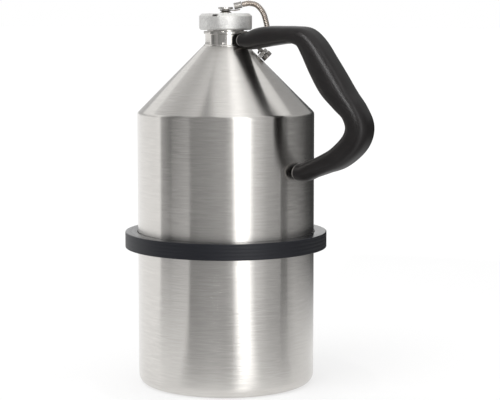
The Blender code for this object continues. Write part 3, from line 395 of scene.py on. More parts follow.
# Neck: turned from thick tube, welded into the shoulder by its flared foot and then
# polished. Above its collar a round thread of 3 mm pitch takes the cap.
NECK_RADIUS = 18.5 * MM
NECK_FOOT_RADIUS = 20.2 * MM
NECK_FOOT_HEIGHT = 3.2 * MM
NECK_BORE = 14.4 * MM
COLLAR_RADIUS = 19.75 * MM
COLLAR_HEIGHT = 2.8 * MM
THREAD_RADIUS = 17.0 * MM
THREAD_DEPTH = 1.0 * MM
THREAD_PITCH = 3.0 * MM
THREAD_RUN_OUT = 0.7 * MM
ARRESTER_SEAT = 15.5 * MM
SEAT_DEPTH = 2.0 * MM
CAP_GAP = 1.0 * MM
SMALL_EDGE = 0.3 * MM
THREAD_RINGS = 12
neck_low, neck_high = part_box("neck_socket")
rim_z = neck_high.z
cap_low, cap_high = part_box("cap_shell")
cap_z = cap_low.z
collar_top = cap_z - CAP_GAP
collar_z = collar_top - COLLAR_HEIGHT
foot_z = shoulder_top


def thread_points(radius, low, high):
    """Outline points of a threaded stretch, with the thread's half height as third value."""
    steps = round((high - low) / THREAD_PITCH * THREAD_RINGS)
    points = []
    for i in range(steps + 1):
        height = low + (high - low) * i / steps
        fade = min(1.0, min(height - low, high - height) / THREAD_RUN_OUT)
        points.append((radius + (fade - 1.0) * THREAD_DEPTH / 2, height, fade * THREAD_DEPTH / 2))
    return points


def thread_wave(point, angle):
    """How far a point on a right-hand thread stands out from its middle radius."""
    if len(point) < 3:
        return 0.0
    return point[2] * math.cos(2 * math.pi * point[1] / THREAD_PITCH - angle)


polished = lathe_finish("polished_stainless_steel", light=(0.71, 0.69, 0.66), dark=(0.63, 0.61, 0.58),
                        roughness=(0.09, 0.16), anisotropy=0.4, lines=2600.0, arc=20.0, depth=0.0012 * MM)
thread_root = THREAD_RADIUS - THREAD_DEPTH / 2
neck_outline = rounded([
    (NECK_BORE, neck_low.z),
    (NECK_FOOT_RADIUS, neck_low.z),
    (NECK_FOOT_RADIUS, foot_z + FINE_EDGE, FINE_EDGE),
    # The foot's dressed weld, a groove above it and a shallow flare.
    (NECK_FOOT_RADIUS - 0.6 * MM, foot_z + 1.4 * MM, SMALL_EDGE),
    (NECK_RADIUS + 0.35 * MM, foot_z + 1.5 * MM, 0.1 * MM),
    (NECK_RADIUS + 0.25 * MM, foot_z + 2.0 * MM, FINE_EDGE),
    (NECK_RADIUS, foot_z + NECK_FOOT_HEIGHT, 0.4 * MM),
    (NECK_RADIUS, collar_z, 0.25 * MM),
    (COLLAR_RADIUS, collar_z, 0.5 * MM),
    (COLLAR_RADIUS, collar_top, 0.5 * MM),
    (thread_root, collar_top, FINE_EDGE),
    (thread_root, collar_top + 0.8 * MM),
], closed=False)
neck_outline += thread_points(THREAD_RADIUS, cap_z + THREAD_RUN_OUT, rim_z - THREAD_RUN_OUT)
neck_outline += rounded([
    (thread_root, rim_z - 0.6 * MM),
    (thread_root, rim_z, SMALL_EDGE),
    (ARRESTER_SEAT, rim_z, FINE_EDGE),
    (ARRESTER_SEAT, rim_z - SEAT_DEPTH),
    (NECK_BORE, rim_z - SEAT_DEPTH),
], closed=False)
add_piece("can_neck", turned(neck_outline, wave=thread_wave), polished, "can",
          "neck_socket")


# Flame arrester: a perforated steel sleeve with a perforated end, hung in the neck by
# its flange and kept there by an open snap ring. It is out of sight once the cap is on.
def give_finish(finish, *node_names):
    """Put a finish on CAD nodes whose shape stays as it is."""
    for node_name in node_names:
        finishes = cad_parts[node_name].data.materials
        finishes.clear()
        finishes.append(finish)


give_finish(brushed, "arrester_basket")
give_finish(polished, "arrester_snap_ring")


def seal_material():
    """Plain grey-black rubber for washers."""
    made, tree, shader = shader_material("seal_rubber", 0.6, 0.0)
    marks = placed_group(tree, lathe_marks, Lines=900.0, Arc=30.0)
    colour = blended_colour(tree, ranged(tree, marks["Clouds"], 0.0, 1.0),
                            (0.030, 0.030, 0.031), (0.050, 0.050, 0.052))
    tree.links.new(colour, shader.inputs["Base Color"])
    return made


give_finish(polished, "valve_body", "valve_poppet", "valve_spring", "stud_washer")
give_finish(seal_material(), "valve_seal", "cap_gasket")
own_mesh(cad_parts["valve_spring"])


# Cap: turned from bar with a chamfered rim, then fine-blasted to a dull grey. Three
# vent slots milled into the chamfer let the relief valve breathe.
CAP_TOP_CHAMFER = 2.4 * MM
CAP_FOOT_CHAMFER = 1.2 * MM
CAP_ROOF = 1.2 * MM
CAP_EDGE = 0.35 * MM
THREAD_CLEARANCE = 0.35 * MM
CAP_RELIEF_RADIUS = 18.0 * MM
VENT_CHAMBER_RADIUS = 14.5 * MM
VENT_HEIGHT = 1.6 * MM
VENT_WIDTH = 5.0 * MM
VENT_COUNT = 3
VENT_AZIMUTH = math.radians(-75.0)
VENT_INNER_REACH = 3.0 * MM
VENT_OUTER_REACH = 2.0 * MM
STUD_HOLE_RADIUS = 3.2 * MM
CAP_RADIUS = cap_high.x
cap_top = cap_high.z
roof_z = cap_top - CAP_ROOF
clamp_z = roof_z - VENT_HEIGHT


def solid_object(mesh_data):
    """Temporary object of a mesh, for joining and cutting."""
    bmesh.ops.recalc_face_normals(mesh_data, faces=mesh_data.faces)
    mesh = bpy.data.meshes.new("temporary")
    mesh_data.to_mesh(mesh)
    mesh_data.free()
    made = bpy.data.objects.new("temporary", mesh)
    bpy.context.scene.collection.objects.link(made)
    return made


def combined_solids(operation, first, *others):
    """Solid with others united to it or cut away from it."""
    target = solid_object(first)
    tools = [solid_object(other) for other in others]
    for tool in tools:
        step = target.modifiers.new("joint", "BOOLEAN")
        step.operation = operation
        step.solver = "EXACT"
        step.object = tool
    depsgraph = bpy.context.evaluated_depsgraph_get()
    result = bmesh.new()
    result.from_object(target, depsgraph)
    for made in (target, *tools):
        bpy.data.meshes.remove(made.data)
    return result


def block(outline, low, high):
    """Prism of a flat (x, y) outline between two heights."""
    mesh_data = bmesh.new()
    bottom = [mesh_data.verts.new((x, y, low)) for x, y in outline]
    top = [mesh_data.verts.new((x, y, high)) for x, y in outline]
    join_rings(mesh_data, bottom, top)
    mesh_data.faces.new(bottom)
    mesh_data.faces.new(top)
    return mesh_data


def cap_outline():
    """Section of the cap from its top over the rim and up the thread inside."""
    female = THREAD_RADIUS + THREAD_CLEARANCE
    outside = rounded([
        (STUD_HOLE_RADIUS, cap_top),
        (CAP_RADIUS - CAP_TOP_CHAMFER, cap_top, CAP_EDGE),
        (CAP_RADIUS, cap_top - CAP_TOP_CHAMFER, CAP_EDGE),
        (CAP_RADIUS, cap_z + CAP_FOOT_CHAMFER, CAP_EDGE),
        (CAP_RADIUS - CAP_FOOT_CHAMFER, cap_z, FINE_EDGE),
        (female + THREAD_DEPTH / 2, cap_z),
    ], closed=False, steps=3)
    threads = []
    for radius, height, wave in thread_points(female, cap_z + THREAD_RUN_OUT, rim_z - CAP_GAP):
        threads.append((2 * female - radius, height, wave))
    inside = [
        (CAP_RELIEF_RADIUS, rim_z - CAP_GAP + CLEARANCE),
        (CAP_RELIEF_RADIUS, clamp_z),
        (VENT_CHAMBER_RADIUS, clamp_z),
        (VENT_CHAMBER_RADIUS, roof_z),
        (STUD_HOLE_RADIUS, roof_z),
    ]
    return outside + threads + inside


def vent_slots():
    """Cutters for the slots, spaced evenly round the cap."""
    cutters = []
    inner, outer = VENT_CHAMBER_RADIUS - VENT_INNER_REACH, CAP_RADIUS + VENT_OUTER_REACH
    half = VENT_WIDTH / 2
    for i in range(VENT_COUNT):
        cutter = block([(inner, -half), (outer, -half), (outer, half), (inner, half)],
                       clamp_z + CLEARANCE, roof_z + CLEARANCE)
        cutter.transform(Matrix.Rotation(VENT_AZIMUTH + 2 * math.pi * i / VENT_COUNT, 4, "Z"))
        cutters.append(cutter)
    return cutters


def blasted_material():
    """Dull grey blasted steel, which scatters light: fine grain with rubbed, brighter spots."""
    made, tree, shader = shader_material("blasted_stainless_steel", 0.4, 0.55)
    place = place_on_piece(tree)
    grain = noise_node(tree, place, 1300.0, 3.0, 0.7)
    patches = noise_node(tree, place, 130.0, 4.0, 0.6)
    mixed = weighed(tree, grain, 0.75, patches, 0.30)
    colour = blended_colour(tree, ranged(tree, mixed, 0.0, 1.0),
                            (0.40, 0.395, 0.385), (0.97, 0.965, 0.94))
    surfaced(tree, shader, colour, ranged(tree, mixed, 0.34, 0.48))
    bumped(tree, shader, grain, 0.14 * MM)
    return made


cap_mesh = combined_solids("DIFFERENCE", turned(cap_outline(), wave=thread_wave), *vent_slots())
add_piece("screw_cap", cap_mesh, blasted_material(), "cap", "cap_shell")


# Swivel stud: a spool turned in one piece and riveted through the cap's middle. The
# tether's eye turns on its waist, so that the cap can be screwed without twisting it.
STUD_FLANGE_RADIUS = 6.6 * MM
STUD_FLANGE_THICKNESS = 1.9 * MM
STUD_EDGE = 0.4 * MM
STUD_WAIST_RADIUS = 3.1 * MM
STUD_FLARE_RADIUS = 5.3 * MM
STUD_FLARE_HEIGHT = 1.9 * MM
STUD_SHANK_RADIUS = 2.9 * MM
STUD_HEAD_RADIUS = 4.3 * MM
STUD_HEAD_THICKNESS = 0.8 * MM
STUD_GUIDE_RADIUS = 1.8 * MM
STUD_GUIDE_DEPTH = 2.8 * MM
SMALL_STEPS = 64
stud_low, stud_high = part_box("swivel_stud")
flare_z = cap_top + CLEARANCE
flange_low = stud_high.z - STUD_FLANGE_THICKNESS
head_top = stud_low.z + STUD_HEAD_THICKNESS


def fitting_finish(name, light, dark, roughness):
    """Finish of a small steel fitting, with finer tool lines than the body's."""
    return lathe_finish(name, light, dark, roughness, anisotropy=0.3, lines=3500.0, arc=60.0,
                        depth=0.003 * MM)


def small_turned(corners, closed=False, steps=3):
    """Small piece turned about Z through (radius, height, rounding) corners."""
    return turned(rounded(corners, closed, steps), SMALL_STEPS)


fitting_steel = fitting_finish("fitting_steel", light=(0.70, 0.685, 0.655), dark=(0.60, 0.585, 0.555),
                               roughness=(0.16, 0.30))
stud_mesh = small_turned([
    (0.0, stud_high.z),
    (STUD_FLANGE_RADIUS, stud_high.z, STUD_EDGE),
    (STUD_FLANGE_RADIUS, flange_low, STUD_EDGE),
    (STUD_WAIST_RADIUS, flange_low, 0.15 * MM),
    (STUD_WAIST_RADIUS, flare_z + STUD_FLARE_HEIGHT, 0.8 * MM),
    (STUD_FLARE_RADIUS, flare_z + STUD_EDGE, SMALL_EDGE),
    (STUD_FLARE_RADIUS, flare_z, 0.1 * MM),
    (STUD_SHANK_RADIUS, flare_z),
    (STUD_SHANK_RADIUS, head_top),
    (STUD_HEAD_RADIUS, head_top, FINE_EDGE),
    (STUD_HEAD_RADIUS, stud_low.z, FINE_EDGE),
    (STUD_GUIDE_RADIUS, stud_low.z),
    (STUD_GUIDE_RADIUS, roof_z + STUD_GUIDE_DEPTH),
    (0.0, roof_z + STUD_GUIDE_DEPTH),
], steps=4)
add_piece("cap_swivel_stud", stud_mesh, fitting_steel, "cap", "swivel_stud")


# Tether's upper end: an eye stamped from strip, loose round the stud's waist, with an
# arm bent up along the underside of the ferrule. The ferrule is crimped on the rope.
TETHER_AZIMUTH = math.radians(38.0)
EYE_INNER_RADIUS = 3.5 * MM
EYE_OUTER_RADIUS = 5.2 * MM
EYE_THICKNESS = 1.2 * MM
EYE_ARM_WIDTH = 3.6 * MM
EYE_ARM_REACH = 4.8 * MM
FERRULE_GAP = 0.4 * MM
FERRULE_SLOPE = math.radians(12.0)
FERRULE_RISE = 21.1 * MM
FERRULE_RADIUS = 2.9 * MM
UPPER_FERRULE_LENGTH = 7.0 * MM
LOWER_FERRULE_LENGTH = 5.2 * MM
FERRULE_COLLAR_RADIUS = 3.15 * MM
FERRULE_COLLAR_LENGTH = 0.9 * MM
FERRULE_BORE = 1.55 * MM
FERRULE_SOCKET_DEPTH = 4.0 * MM
CRIMP_DEPTH = 0.12 * MM
outward = Vector((math.cos(TETHER_AZIMUTH), math.sin(TETHER_AZIMUTH), 0.0))
sideways = Vector((-math.sin(TETHER_AZIMUTH), math.cos(TETHER_AZIMUTH), 0.0))
upward = Vector((0.0, 0.0, 1.0))
eye_top = flange_low - CLEARANCE
eye_low = eye_top - EYE_THICKNESS


def frame_at(origin, x_axis, y_axis, z_axis):
    """Placing matrix from an origin and three unit axes."""
    rotation = Matrix((x_axis, y_axis, z_axis)).transposed().to_4x4()
    return Matrix.Translation(origin) @ rotation


def tether_point(across, height):
    """Point in the tether's plane, from its distance to the axis and its height."""
    return outward * across + upward * height


def along(start, direction, distance):
    """Place at a distance from a start, both in the tether's plane."""
    return (start[0] + direction[0] * distance, start[1] + direction[1] * distance)


upper_lean = FERRULE_RADIUS * math.sin(FERRULE_SLOPE)
upper_start = (STUD_FLANGE_RADIUS + FERRULE_GAP + upper_lean, cap_z + FERRULE_RISE)
upper_direction = (math.cos(FERRULE_SLOPE), math.sin(FERRULE_SLOPE))


def flat_ring(inner, outer, low, high, edge):
    """Ring of rectangular section with its four edges rounded."""
    corners = ((outer, low, edge), (outer, high, edge), (inner, high, edge), (inner, low, edge))
    return small_turned(corners, closed=True)


def eye_strip():
    """Ring and bent arm of the eye as one solid."""
    ring = flat_ring(EYE_INNER_RADIUS, EYE_OUTER_RADIUS, eye_low, eye_top, FINE_EDGE)
    root = (EYE_INNER_RADIUS + EYE_OUTER_RADIUS) / 2
    inset = CLEARANCE / 2
    down = (upper_direction[1], -upper_direction[0])
    upper_bend = along(upper_start, down, FERRULE_RADIUS + CLEARANCE)
    lower_bend = along(upper_bend, down, EYE_THICKNESS)
    profile = rounded([
        (root, eye_low + inset),
        (*lower_bend, 0.8 * MM),
        (*along(lower_bend, upper_direction, EYE_ARM_REACH), SMALL_EDGE),
        (*along(upper_bend, upper_direction, EYE_ARM_REACH), SMALL_EDGE),
        (*upper_bend, 0.8 * MM),
        (root, eye_top - inset),
    ], closed=True)
    arm = block(profile, -EYE_ARM_WIDTH / 2, EYE_ARM_WIDTH / 2)
    arm.transform(Matrix(((1, 0, 0, 0), (0, 0, 1, 0), (0, 1, 0, 0), (0, 0, 0, 1))))
    return combined_solids("UNION", ring, arm)


def ferrule_mesh(length):
    """Sleeve with two crimped waists and a collar at its mouth, along local Z."""
    body = length - FERRULE_COLLAR_LENGTH
    outline = [(0.0, 0.0), (FERRULE_RADIUS, 0.0, SMALL_EDGE)]
    for share in (0.32, 0.68):
        for shift, depth in ((-0.12, 0.0), (-0.04, CRIMP_DEPTH), (0.04, CRIMP_DEPTH), (0.12, 0.0)):
            outline.append((FERRULE_RADIUS - depth, body * (share + shift)))
    outline += [
        (FERRULE_RADIUS, body, 0.1 * MM),
        (FERRULE_COLLAR_RADIUS, body, 0.12 * MM),
        (FERRULE_COLLAR_RADIUS, length, FINE_EDGE),
        (FERRULE_BORE, length),
        (FERRULE_BORE, length - FERRULE_SOCKET_DEPTH),
        (0.0, length - FERRULE_SOCKET_DEPTH),
    ]
    return small_turned(outline)


def ferrule_frame(start, direction):
    """Placing matrix of a ferrule from its start and direction in the tether's plane."""
    z_axis = tether_point(*direction)
    return frame_at(tether_point(*start), sideways.cross(z_axis), sideways, z_axis)


crimped_steel = fitting_finish("crimped_steel", light=(0.38, 0.365, 0.345), dark=(0.27, 0.26, 0.245),
                               roughness=(0.28, 0.42))
strip_steel = fitting_finish("dull_strip_steel", light=(0.27, 0.255, 0.24), dark=(0.15, 0.14, 0.13),
                             roughness=(0.24, 0.40))
add_piece("tether_upper_eye", eye_strip(), strip_steel, "tether_end",
          "tether_eye", Matrix.Rotation(TETHER_AZIMUTH, 4, "Z"))
add_piece("tether_upper_ferrule", ferrule_mesh(UPPER_FERRULE_LENGTH), crimped_steel,
          "tether_end", "tether_ferrule_upper",
          ferrule_frame(upper_start, upper_direction))


# Anchor: a boss welded to the shoulder, and a broad-headed rivet through it that holds
# the tether's lower eye. The eye's shank goes up into the lower ferrule.
ANCHOR_RADIUS = 29.0 * MM
ANCHOR_PIN_HEIGHT = 5.3 * MM
ANCHOR_BOSS_RADIUS = 4.1 * MM
ANCHOR_BOSS_LENGTH = 3.4 * MM
ANCHOR_FOOT_WIDTH = 12.0 * MM
ANCHOR_WEB_WIDTH = 7.4 * MM
ANCHOR_FOOT_THICKNESS = 1.2 * MM
ANCHOR_WEB_INSET = 0.2 * MM
PIN_RADIUS = 1.7 * MM
PIN_BORE = 2.0 * MM
PIN_HEAD_RADIUS = 4.8 * MM
PIN_HEAD_THICKNESS = 4.1 * MM
PIN_HEAD_EDGE = 0.55 * MM
PIN_TAIL_RADIUS = 2.6 * MM
PIN_TAIL_THICKNESS = 1.1 * MM
LOWER_EYE_OFFSET = 2.9 * MM
LOWER_EYE_TILT = math.radians(25.0)
LOWER_EYE_BORE = 2.7 * MM
LOWER_EYE_RADIUS = 4.4 * MM
LOWER_EYE_THICKNESS = 1.6 * MM
SHANK_RADIUS = 1.1 * MM
SHANK_REACH = 5.2 * MM
SHANK_STEPS = 32
slope_direction = (math.cos(SHOULDER_SLOPE), -math.sin(SHOULDER_SLOPE))
normal_direction = (math.sin(SHOULDER_SLOPE), math.cos(SHOULDER_SLOPE))
anchor_foot = (ANCHOR_RADIUS, cone_height(ANCHOR_RADIUS))
anchor_frame = frame_at(tether_point(*anchor_foot), tether_point(*slope_direction), sideways,
                        tether_point(*normal_direction))


def lying(mesh_data, x, z):
    """Turn a mesh's axis from local Z to local X and put its foot at a local place."""
    axes = (Vector((0.0, 0.0, -1.0)), Vector((0.0, 1.0, 0.0)), Vector((1.0, 0.0, 0.0)))
    mesh_data.transform(frame_at(Vector((x, 0.0, z)), *axes))
    return mesh_data


def boss_mesh():
    """Foot plate, web and drilled drum of the boss as one solid."""
    half = ANCHOR_FOOT_WIDTH / 2
    web_half = ANCHOR_WEB_WIDTH / 2
    length = ANCHOR_BOSS_LENGTH
    foot = block([(0.0, -half), (length, -half), (length, half), (0.0, half)],
                 CLEARANCE, CLEARANCE + ANCHOR_FOOT_THICKNESS)
    inset = ANCHOR_WEB_INSET
    web = block([(inset, -web_half), (length - inset, -web_half),
                 (length - inset, web_half), (inset, web_half)],
                CLEARANCE + ANCHOR_FOOT_THICKNESS / 2, ANCHOR_PIN_HEIGHT)
    drum = small_turned([(0.0, 0.0), (ANCHOR_BOSS_RADIUS, 0.0, SMALL_EDGE),
                         (ANCHOR_BOSS_RADIUS, length, SMALL_EDGE), (0.0, length)])
    drill = turned([(0.0, 0.0), (PIN_BORE, 0.0), (PIN_BORE, 3 * length), (0.0, 3 * length)],
                   SMALL_STEPS)
    joined = combined_solids("UNION", foot, web, lying(drum, 0.0, ANCHOR_PIN_HEIGHT))
    return combined_solids("DIFFERENCE", joined, lying(drill, -length, ANCHOR_PIN_HEIGHT))


def pin_mesh():
    """Rivet with a broad edged head and a small closed tail."""
    tail_x = -2 * LOWER_EYE_OFFSET
    grip = ANCHOR_BOSS_LENGTH + CLEARANCE - tail_x
    rivet = small_turned([
        (0.0, -PIN_TAIL_THICKNESS),
        (PIN_TAIL_RADIUS, -PIN_TAIL_THICKNESS, 0.4 * MM),
        (PIN_TAIL_RADIUS, 0.0),
        (PIN_RADIUS, 0.0),
        (PIN_RADIUS, grip),
        (PIN_HEAD_RADIUS, grip, 0.25 * MM),
        (PIN_HEAD_RADIUS, grip + PIN_HEAD_THICKNESS, PIN_HEAD_EDGE),
        (0.0, grip + PIN_HEAD_THICKNESS),
    ])
    return lying(rivet, tail_x, ANCHOR_PIN_HEIGHT)


def lower_eye_mesh():
    """Flat ring round the pin with a round shank."""
    half = LOWER_EYE_THICKNESS / 2
    ring = flat_ring(LOWER_EYE_BORE, LOWER_EYE_RADIUS, -half, half, SMALL_EDGE)
    root = (LOWER_EYE_RADIUS + LOWER_EYE_BORE) / 2
    shank = turned([(0.0, root), (SHANK_RADIUS, root), (SHANK_RADIUS, SHANK_REACH), (0.0, SHANK_REACH)],
                   SHANK_STEPS)
    eye = combined_solids("UNION", lying(ring, 0.0, 0.0), shank)
    tilt = Matrix.Rotation(-LOWER_EYE_TILT, 4, "Y")
    eye.transform(Matrix.Translation((-LOWER_EYE_OFFSET, 0.0, ANCHOR_PIN_HEIGHT)) @ tilt)
    return eye


def lower_line():
    """Centre of the lower eye and the direction of its ferrule, in the tether's plane."""
    slope, normal = slope_direction, normal_direction
    centre = tuple(anchor_foot[k] + normal[k] * ANCHOR_PIN_HEIGHT - slope[k] * LOWER_EYE_OFFSET
                   for k in range(2))
    cosine, sine = math.cos(LOWER_EYE_TILT), math.sin(LOWER_EYE_TILT)
    return centre, tuple(normal[k] * cosine - slope[k] * sine for k in range(2))


lower_centre, lower_direction = lower_line()
lower_start = along(lower_centre, lower_direction, SHANK_REACH + CLEARANCE)
for piece_name, mesh_data, finish, node_name in (
        ("anchor_drum", boss_mesh(), crimped_steel, "anchor_boss"),
        ("anchor_rivet", pin_mesh(), strip_steel, "anchor_pin"),
        ("tether_lower_eye", lower_eye_mesh(), strip_steel, "anchor_eye")):
    add_piece(piece_name, mesh_data, finish, "can", node_name, anchor_frame)
add_piece("tether_lower_ferrule", ferrule_mesh(LOWER_FERRULE_LENGTH), crimped_steel,
          "can", "tether_ferrule_lower", ferrule_frame(lower_start, lower_direction))


# Tether: a wire rope inside a sheath wound from half-round steel wire, which gives it
# its close ribs. It springs in one bend from the cap's stud down to the anchor.
SHEATH_RADIUS = 2.5 * MM
SHEATH_RIB_DEPTH = 0.45 * MM
SHEATH_RIB_PITCH = 1.6 * MM
SHEATH_BORE = 1.55 * MM
WIRE_RADIUS = 1.15 * MM
TETHER_END_STRAIGHT = 5.0 * MM
# Millimetres from the axis, and above the foot of the cap.
TETHER_ROUTE = ((22.6, 23.6), (27.3, 22.3), (31.1, 19.0), (34.1, 14.4), (35.9, 8.7), (37.2, 2.3))
ROUTE_STEPS = 16
RINGS_PER_RIB = 8
SHEATH_STEPS = 32
WIRE_STEPS = 20


def smooth_route(points, start_direction, end_direction, steps):
    """Smooth route through points of any dimension, with its end directions set."""
    size = len(points[0])
    slopes = []
    for i in range(len(points)):
        before, after = points[max(i - 1, 0)], points[min(i + 1, len(points) - 1)]
        slopes.append([(after[k] - before[k]) / 2 for k in range(size)])
    for index, direction, other in ((0, start_direction, 1), (-1, end_direction, -2)):
        reach = math.dist(points[index][:2], points[other][:2])
        slopes[index] = [value * reach for value in direction]
    route = []
    for i in range(len(points) - 1):
        for step in range(steps):
            t = step / steps
            weights = (2 * t**3 - 3 * t**2 + 1, t**3 - 2 * t**2 + t, -2 * t**3 + 3 * t**2, t**3 - t**2)
            parts = (points[i], slopes[i], points[i + 1], slopes[i + 1])
            route.append([sum(w * part[k] for w, part in zip(weights, parts)) for k in range(size)])
    route.append(list(points[-1]))
    return route


class Path:
    """A flat route (distance from the axis, height) with other values carried along it."""

    def __init__(self, route, out, side):
        self.route = route
        self.out = out
        self.side = side
        self.marks = [0.0]
        for before, after in zip(route, route[1:]):
            self.marks.append(self.marks[-1] + math.dist(before[:2], after[:2]))
        self.length = self.marks[-1]

    def values(self, distance):
        """Route values at a distance along it, carried straight on past its ends."""
        index = 0
        while index < len(self.marks) - 2 and self.marks[index + 1] < distance:
            index += 1
        share = (distance - self.marks[index]) / (self.marks[index + 1] - self.marks[index])
        return [a + (b - a) * share for a, b in zip(self.route[index], self.route[index + 1])]

    def point(self, distance):
        """Point of the route at a distance along it."""
        across, height = self.values(distance)[:2]
        return self.out * across + upward * height

    def depth_direction(self, distance, reach=0.4 * MM):
        """Unit vector in the route's plane, square to the route."""
        chord = self.point(distance + reach) - self.point(distance - reach)
        return self.side.cross(chord).normalized() * -1.0


def tube(path, marks, radius_at, steps):
    """Rings of points round a path, at the distances in marks."""
    rings = []
    for mark in marks:
        centre, depth = path.point(mark), path.depth_direction(mark)
        ring = []
        for i in range(steps):
            angle = 2 * math.pi * i / steps
            radius = radius_at(mark, angle)
            ring.append(centre + (depth * math.sin(angle) + path.side * math.cos(angle)) * radius)
        rings.append(ring)
    return rings


def skinned(outer, inner=()):
    """Solid from rings along a path, hollow where inner rings are given."""
    mesh_data = bmesh.new()
    shells = []
    for rings in (outer, inner):
        made = [[mesh_data.verts.new(point) for point in ring] for ring in rings]
        for first, second in zip(made, made[1:]):
            join_rings(mesh_data, first, second)
        shells.append(made)
    for end in (0, -1):
        if shells[1]:
            join_rings(mesh_data, shells[0][end], shells[1][end])
        else:
            mesh_data.faces.new(shells[0][end])
    return mesh_data


def rib_radius(mark, angle):
    """Outline of the wound wire: round crests with narrow valleys, one turn per pitch."""
    phase = (mark / SHEATH_RIB_PITCH - angle / (2 * math.pi)) % 1.0
    crest = math.sqrt(max(0.0, 1.0 - (2 * phase - 1.0) ** 2))
    margin = min(1.0, min(mark, tether.length - mark) / (SHEATH_RIB_PITCH / 2))
    return SHEATH_RADIUS - SHEATH_RIB_DEPTH * (1.0 - crest * margin)


def wound_steel_material():
    """Brownish spring wire with duller, darker stains."""
    made, tree, shader = shader_material("wound_spring_steel", 0.35, 1.0)
    place = place_on_piece(tree)
    stains = noise_node(tree, place, 420.0, 3.0, 0.6)
    colour = blended_colour(tree, ranged(tree, stains, 0.0, 1.0),
                            (0.24, 0.185, 0.145), (0.50, 0.46, 0.42))
    surfaced(tree, shader, colour, ranged(tree, stains, 0.36, 0.22))
    bumped(tree, shader, noise_node(tree, place, 2500.0, 2.0), 0.02 * MM)
    return made


def tether_route():
    """Route between the ferrules: straight out of each, with one bend between."""
    first = along(upper_start, upper_direction, UPPER_FERRULE_LENGTH + CLEARANCE)
    last = along(lower_start, lower_direction, LOWER_FERRULE_LENGTH + CLEARANCE)
    first_bend = along(first, upper_direction, TETHER_END_STRAIGHT)
    last_bend = along(last, lower_direction, TETHER_END_STRAIGHT)
    middle = [(across * MM, cap_z + rise * MM) for across, rise in TETHER_ROUTE]
    backwards = (-lower_direction[0], -lower_direction[1])
    bend = smooth_route([first_bend, *middle, last_bend], upper_direction, backwards, ROUTE_STEPS)
    return [list(first), *bend, list(last)]


def blended_piece(name, mesh_data, node_name):
    """Steel piece between the anchor and the cap's end, on no body, with its placing baked into its mesh.
    """
    piece = add_piece(name, mesh_data, wound_steel, None, node_name)
    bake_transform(piece)


tether = Path(tether_route(), outward, sideways)
ring_count = round(tether.length / SHEATH_RIB_PITCH * RINGS_PER_RIB)
rib_marks = [tether.length * i / ring_count for i in range(ring_count + 1)]
wound_steel = wound_steel_material()
bore_marks = rib_marks[::4] + [tether.length]
sheath_mesh = skinned(tube(tether, rib_marks, rib_radius, SHEATH_STEPS),
                      tube(tether, bore_marks, lambda mark, angle: SHEATH_BORE, SHEATH_STEPS))
blended_piece("tether_wound_sheath", sheath_mesh, "tether_sheath")
wire_tail = FERRULE_SOCKET_DEPTH - CLEARANCE
wire_marks = [-wire_tail, *rib_marks[::6], tether.length, tether.length + wire_tail]
wire_mesh = skinned(tube(tether, wire_marks, lambda mark, angle: WIRE_RADIUS, WIRE_STEPS))
blended_piece("tether_rope", wire_mesh, "tether_wire")


# Handle: black plastic moulded round a bent steel bar, which is held at both ends in
# cups welded to the neck and the body. The cups are finished near-black as painted shade
# for the gap at the grip's ends, and the rims at those ends carry a painted highlight.
HANDLE_HALF_WIDTH = 12.3 * MM
HANDLE_SQUARENESS = 2.7
HANDLE_END_SQUARENESS = 2.1
HANDLE_END_REACH = 34.0 * MM
HANDLE_END_ROUNDING = 1.6 * MM
HANDLE_UPPER_SEAT = 311.2 * MM
HANDLE_LOWER_SEAT = 197.0 * MM
# Millimetres out from the seat's wall, up from the seat, and the grip's half depth there.
HANDLE_UPPER_HALF = (
    (2.4, 0.0, 6.3), (10.5, 0.0, 8.2), (21.5, 2.3, 9.0), (34.5, 4.0, 8.8), (49.5, 5.0, 7.9),
    (60.5, 5.0, 7.8), (71.7, 2.1, 9.7), (80.5, -7.1, 11.8),
)
HANDLE_LOWER_HALF = (
    (28.0, 93.4, 13.2), (39.0, 77.8, 13.8), (50.7, 64.7, 11.8), (60.7, 54.2, 10.4), (66.0, 41.4, 11.2),
    (61.3, 28.5, 11.0), (46.6, 15.6, 10.0), (31.5, 8.7, 8.5), (19.0, 3.9, 8.1), (8.4, 0.0, 7.9),
    (2.4, 0.0, 7.6),
)
HANDLE_ROUTE_STEPS = 12
GRIP_STEP = 1.6 * MM
GRIP_STEPS = 72
RIM_STEPS = 6
CORE_BORE = 3.95 * MM
CUP_RECESS = 5.25 * MM
CUP_LENGTH = 5.0 * MM
HIGHLIGHT_RIM_REACH = (2.7 * MM, 4.5 * MM)
HIGHLIGHT_RIM_FADE = 0.7 * MM


def handle_route():
    """Route of the grip's middle from the neck to the body, with its half depth."""
    stations = []
    for radius, height, half in ((NECK_RADIUS, HANDLE_UPPER_SEAT, HANDLE_UPPER_HALF),
                                 (BODY_RADIUS, HANDLE_LOWER_SEAT, HANDLE_LOWER_HALF)):
        for across, rise, depth in half:
            stations.append((radius + across * MM, height + rise * MM, depth * MM))
    inner = smooth_route(stations[1:-1], (1.0, 0.0, 0.0), (-1.0, 0.0, 0.0), HANDLE_ROUTE_STEPS)
    return [list(stations[0]), *inner, list(stations[-1])]


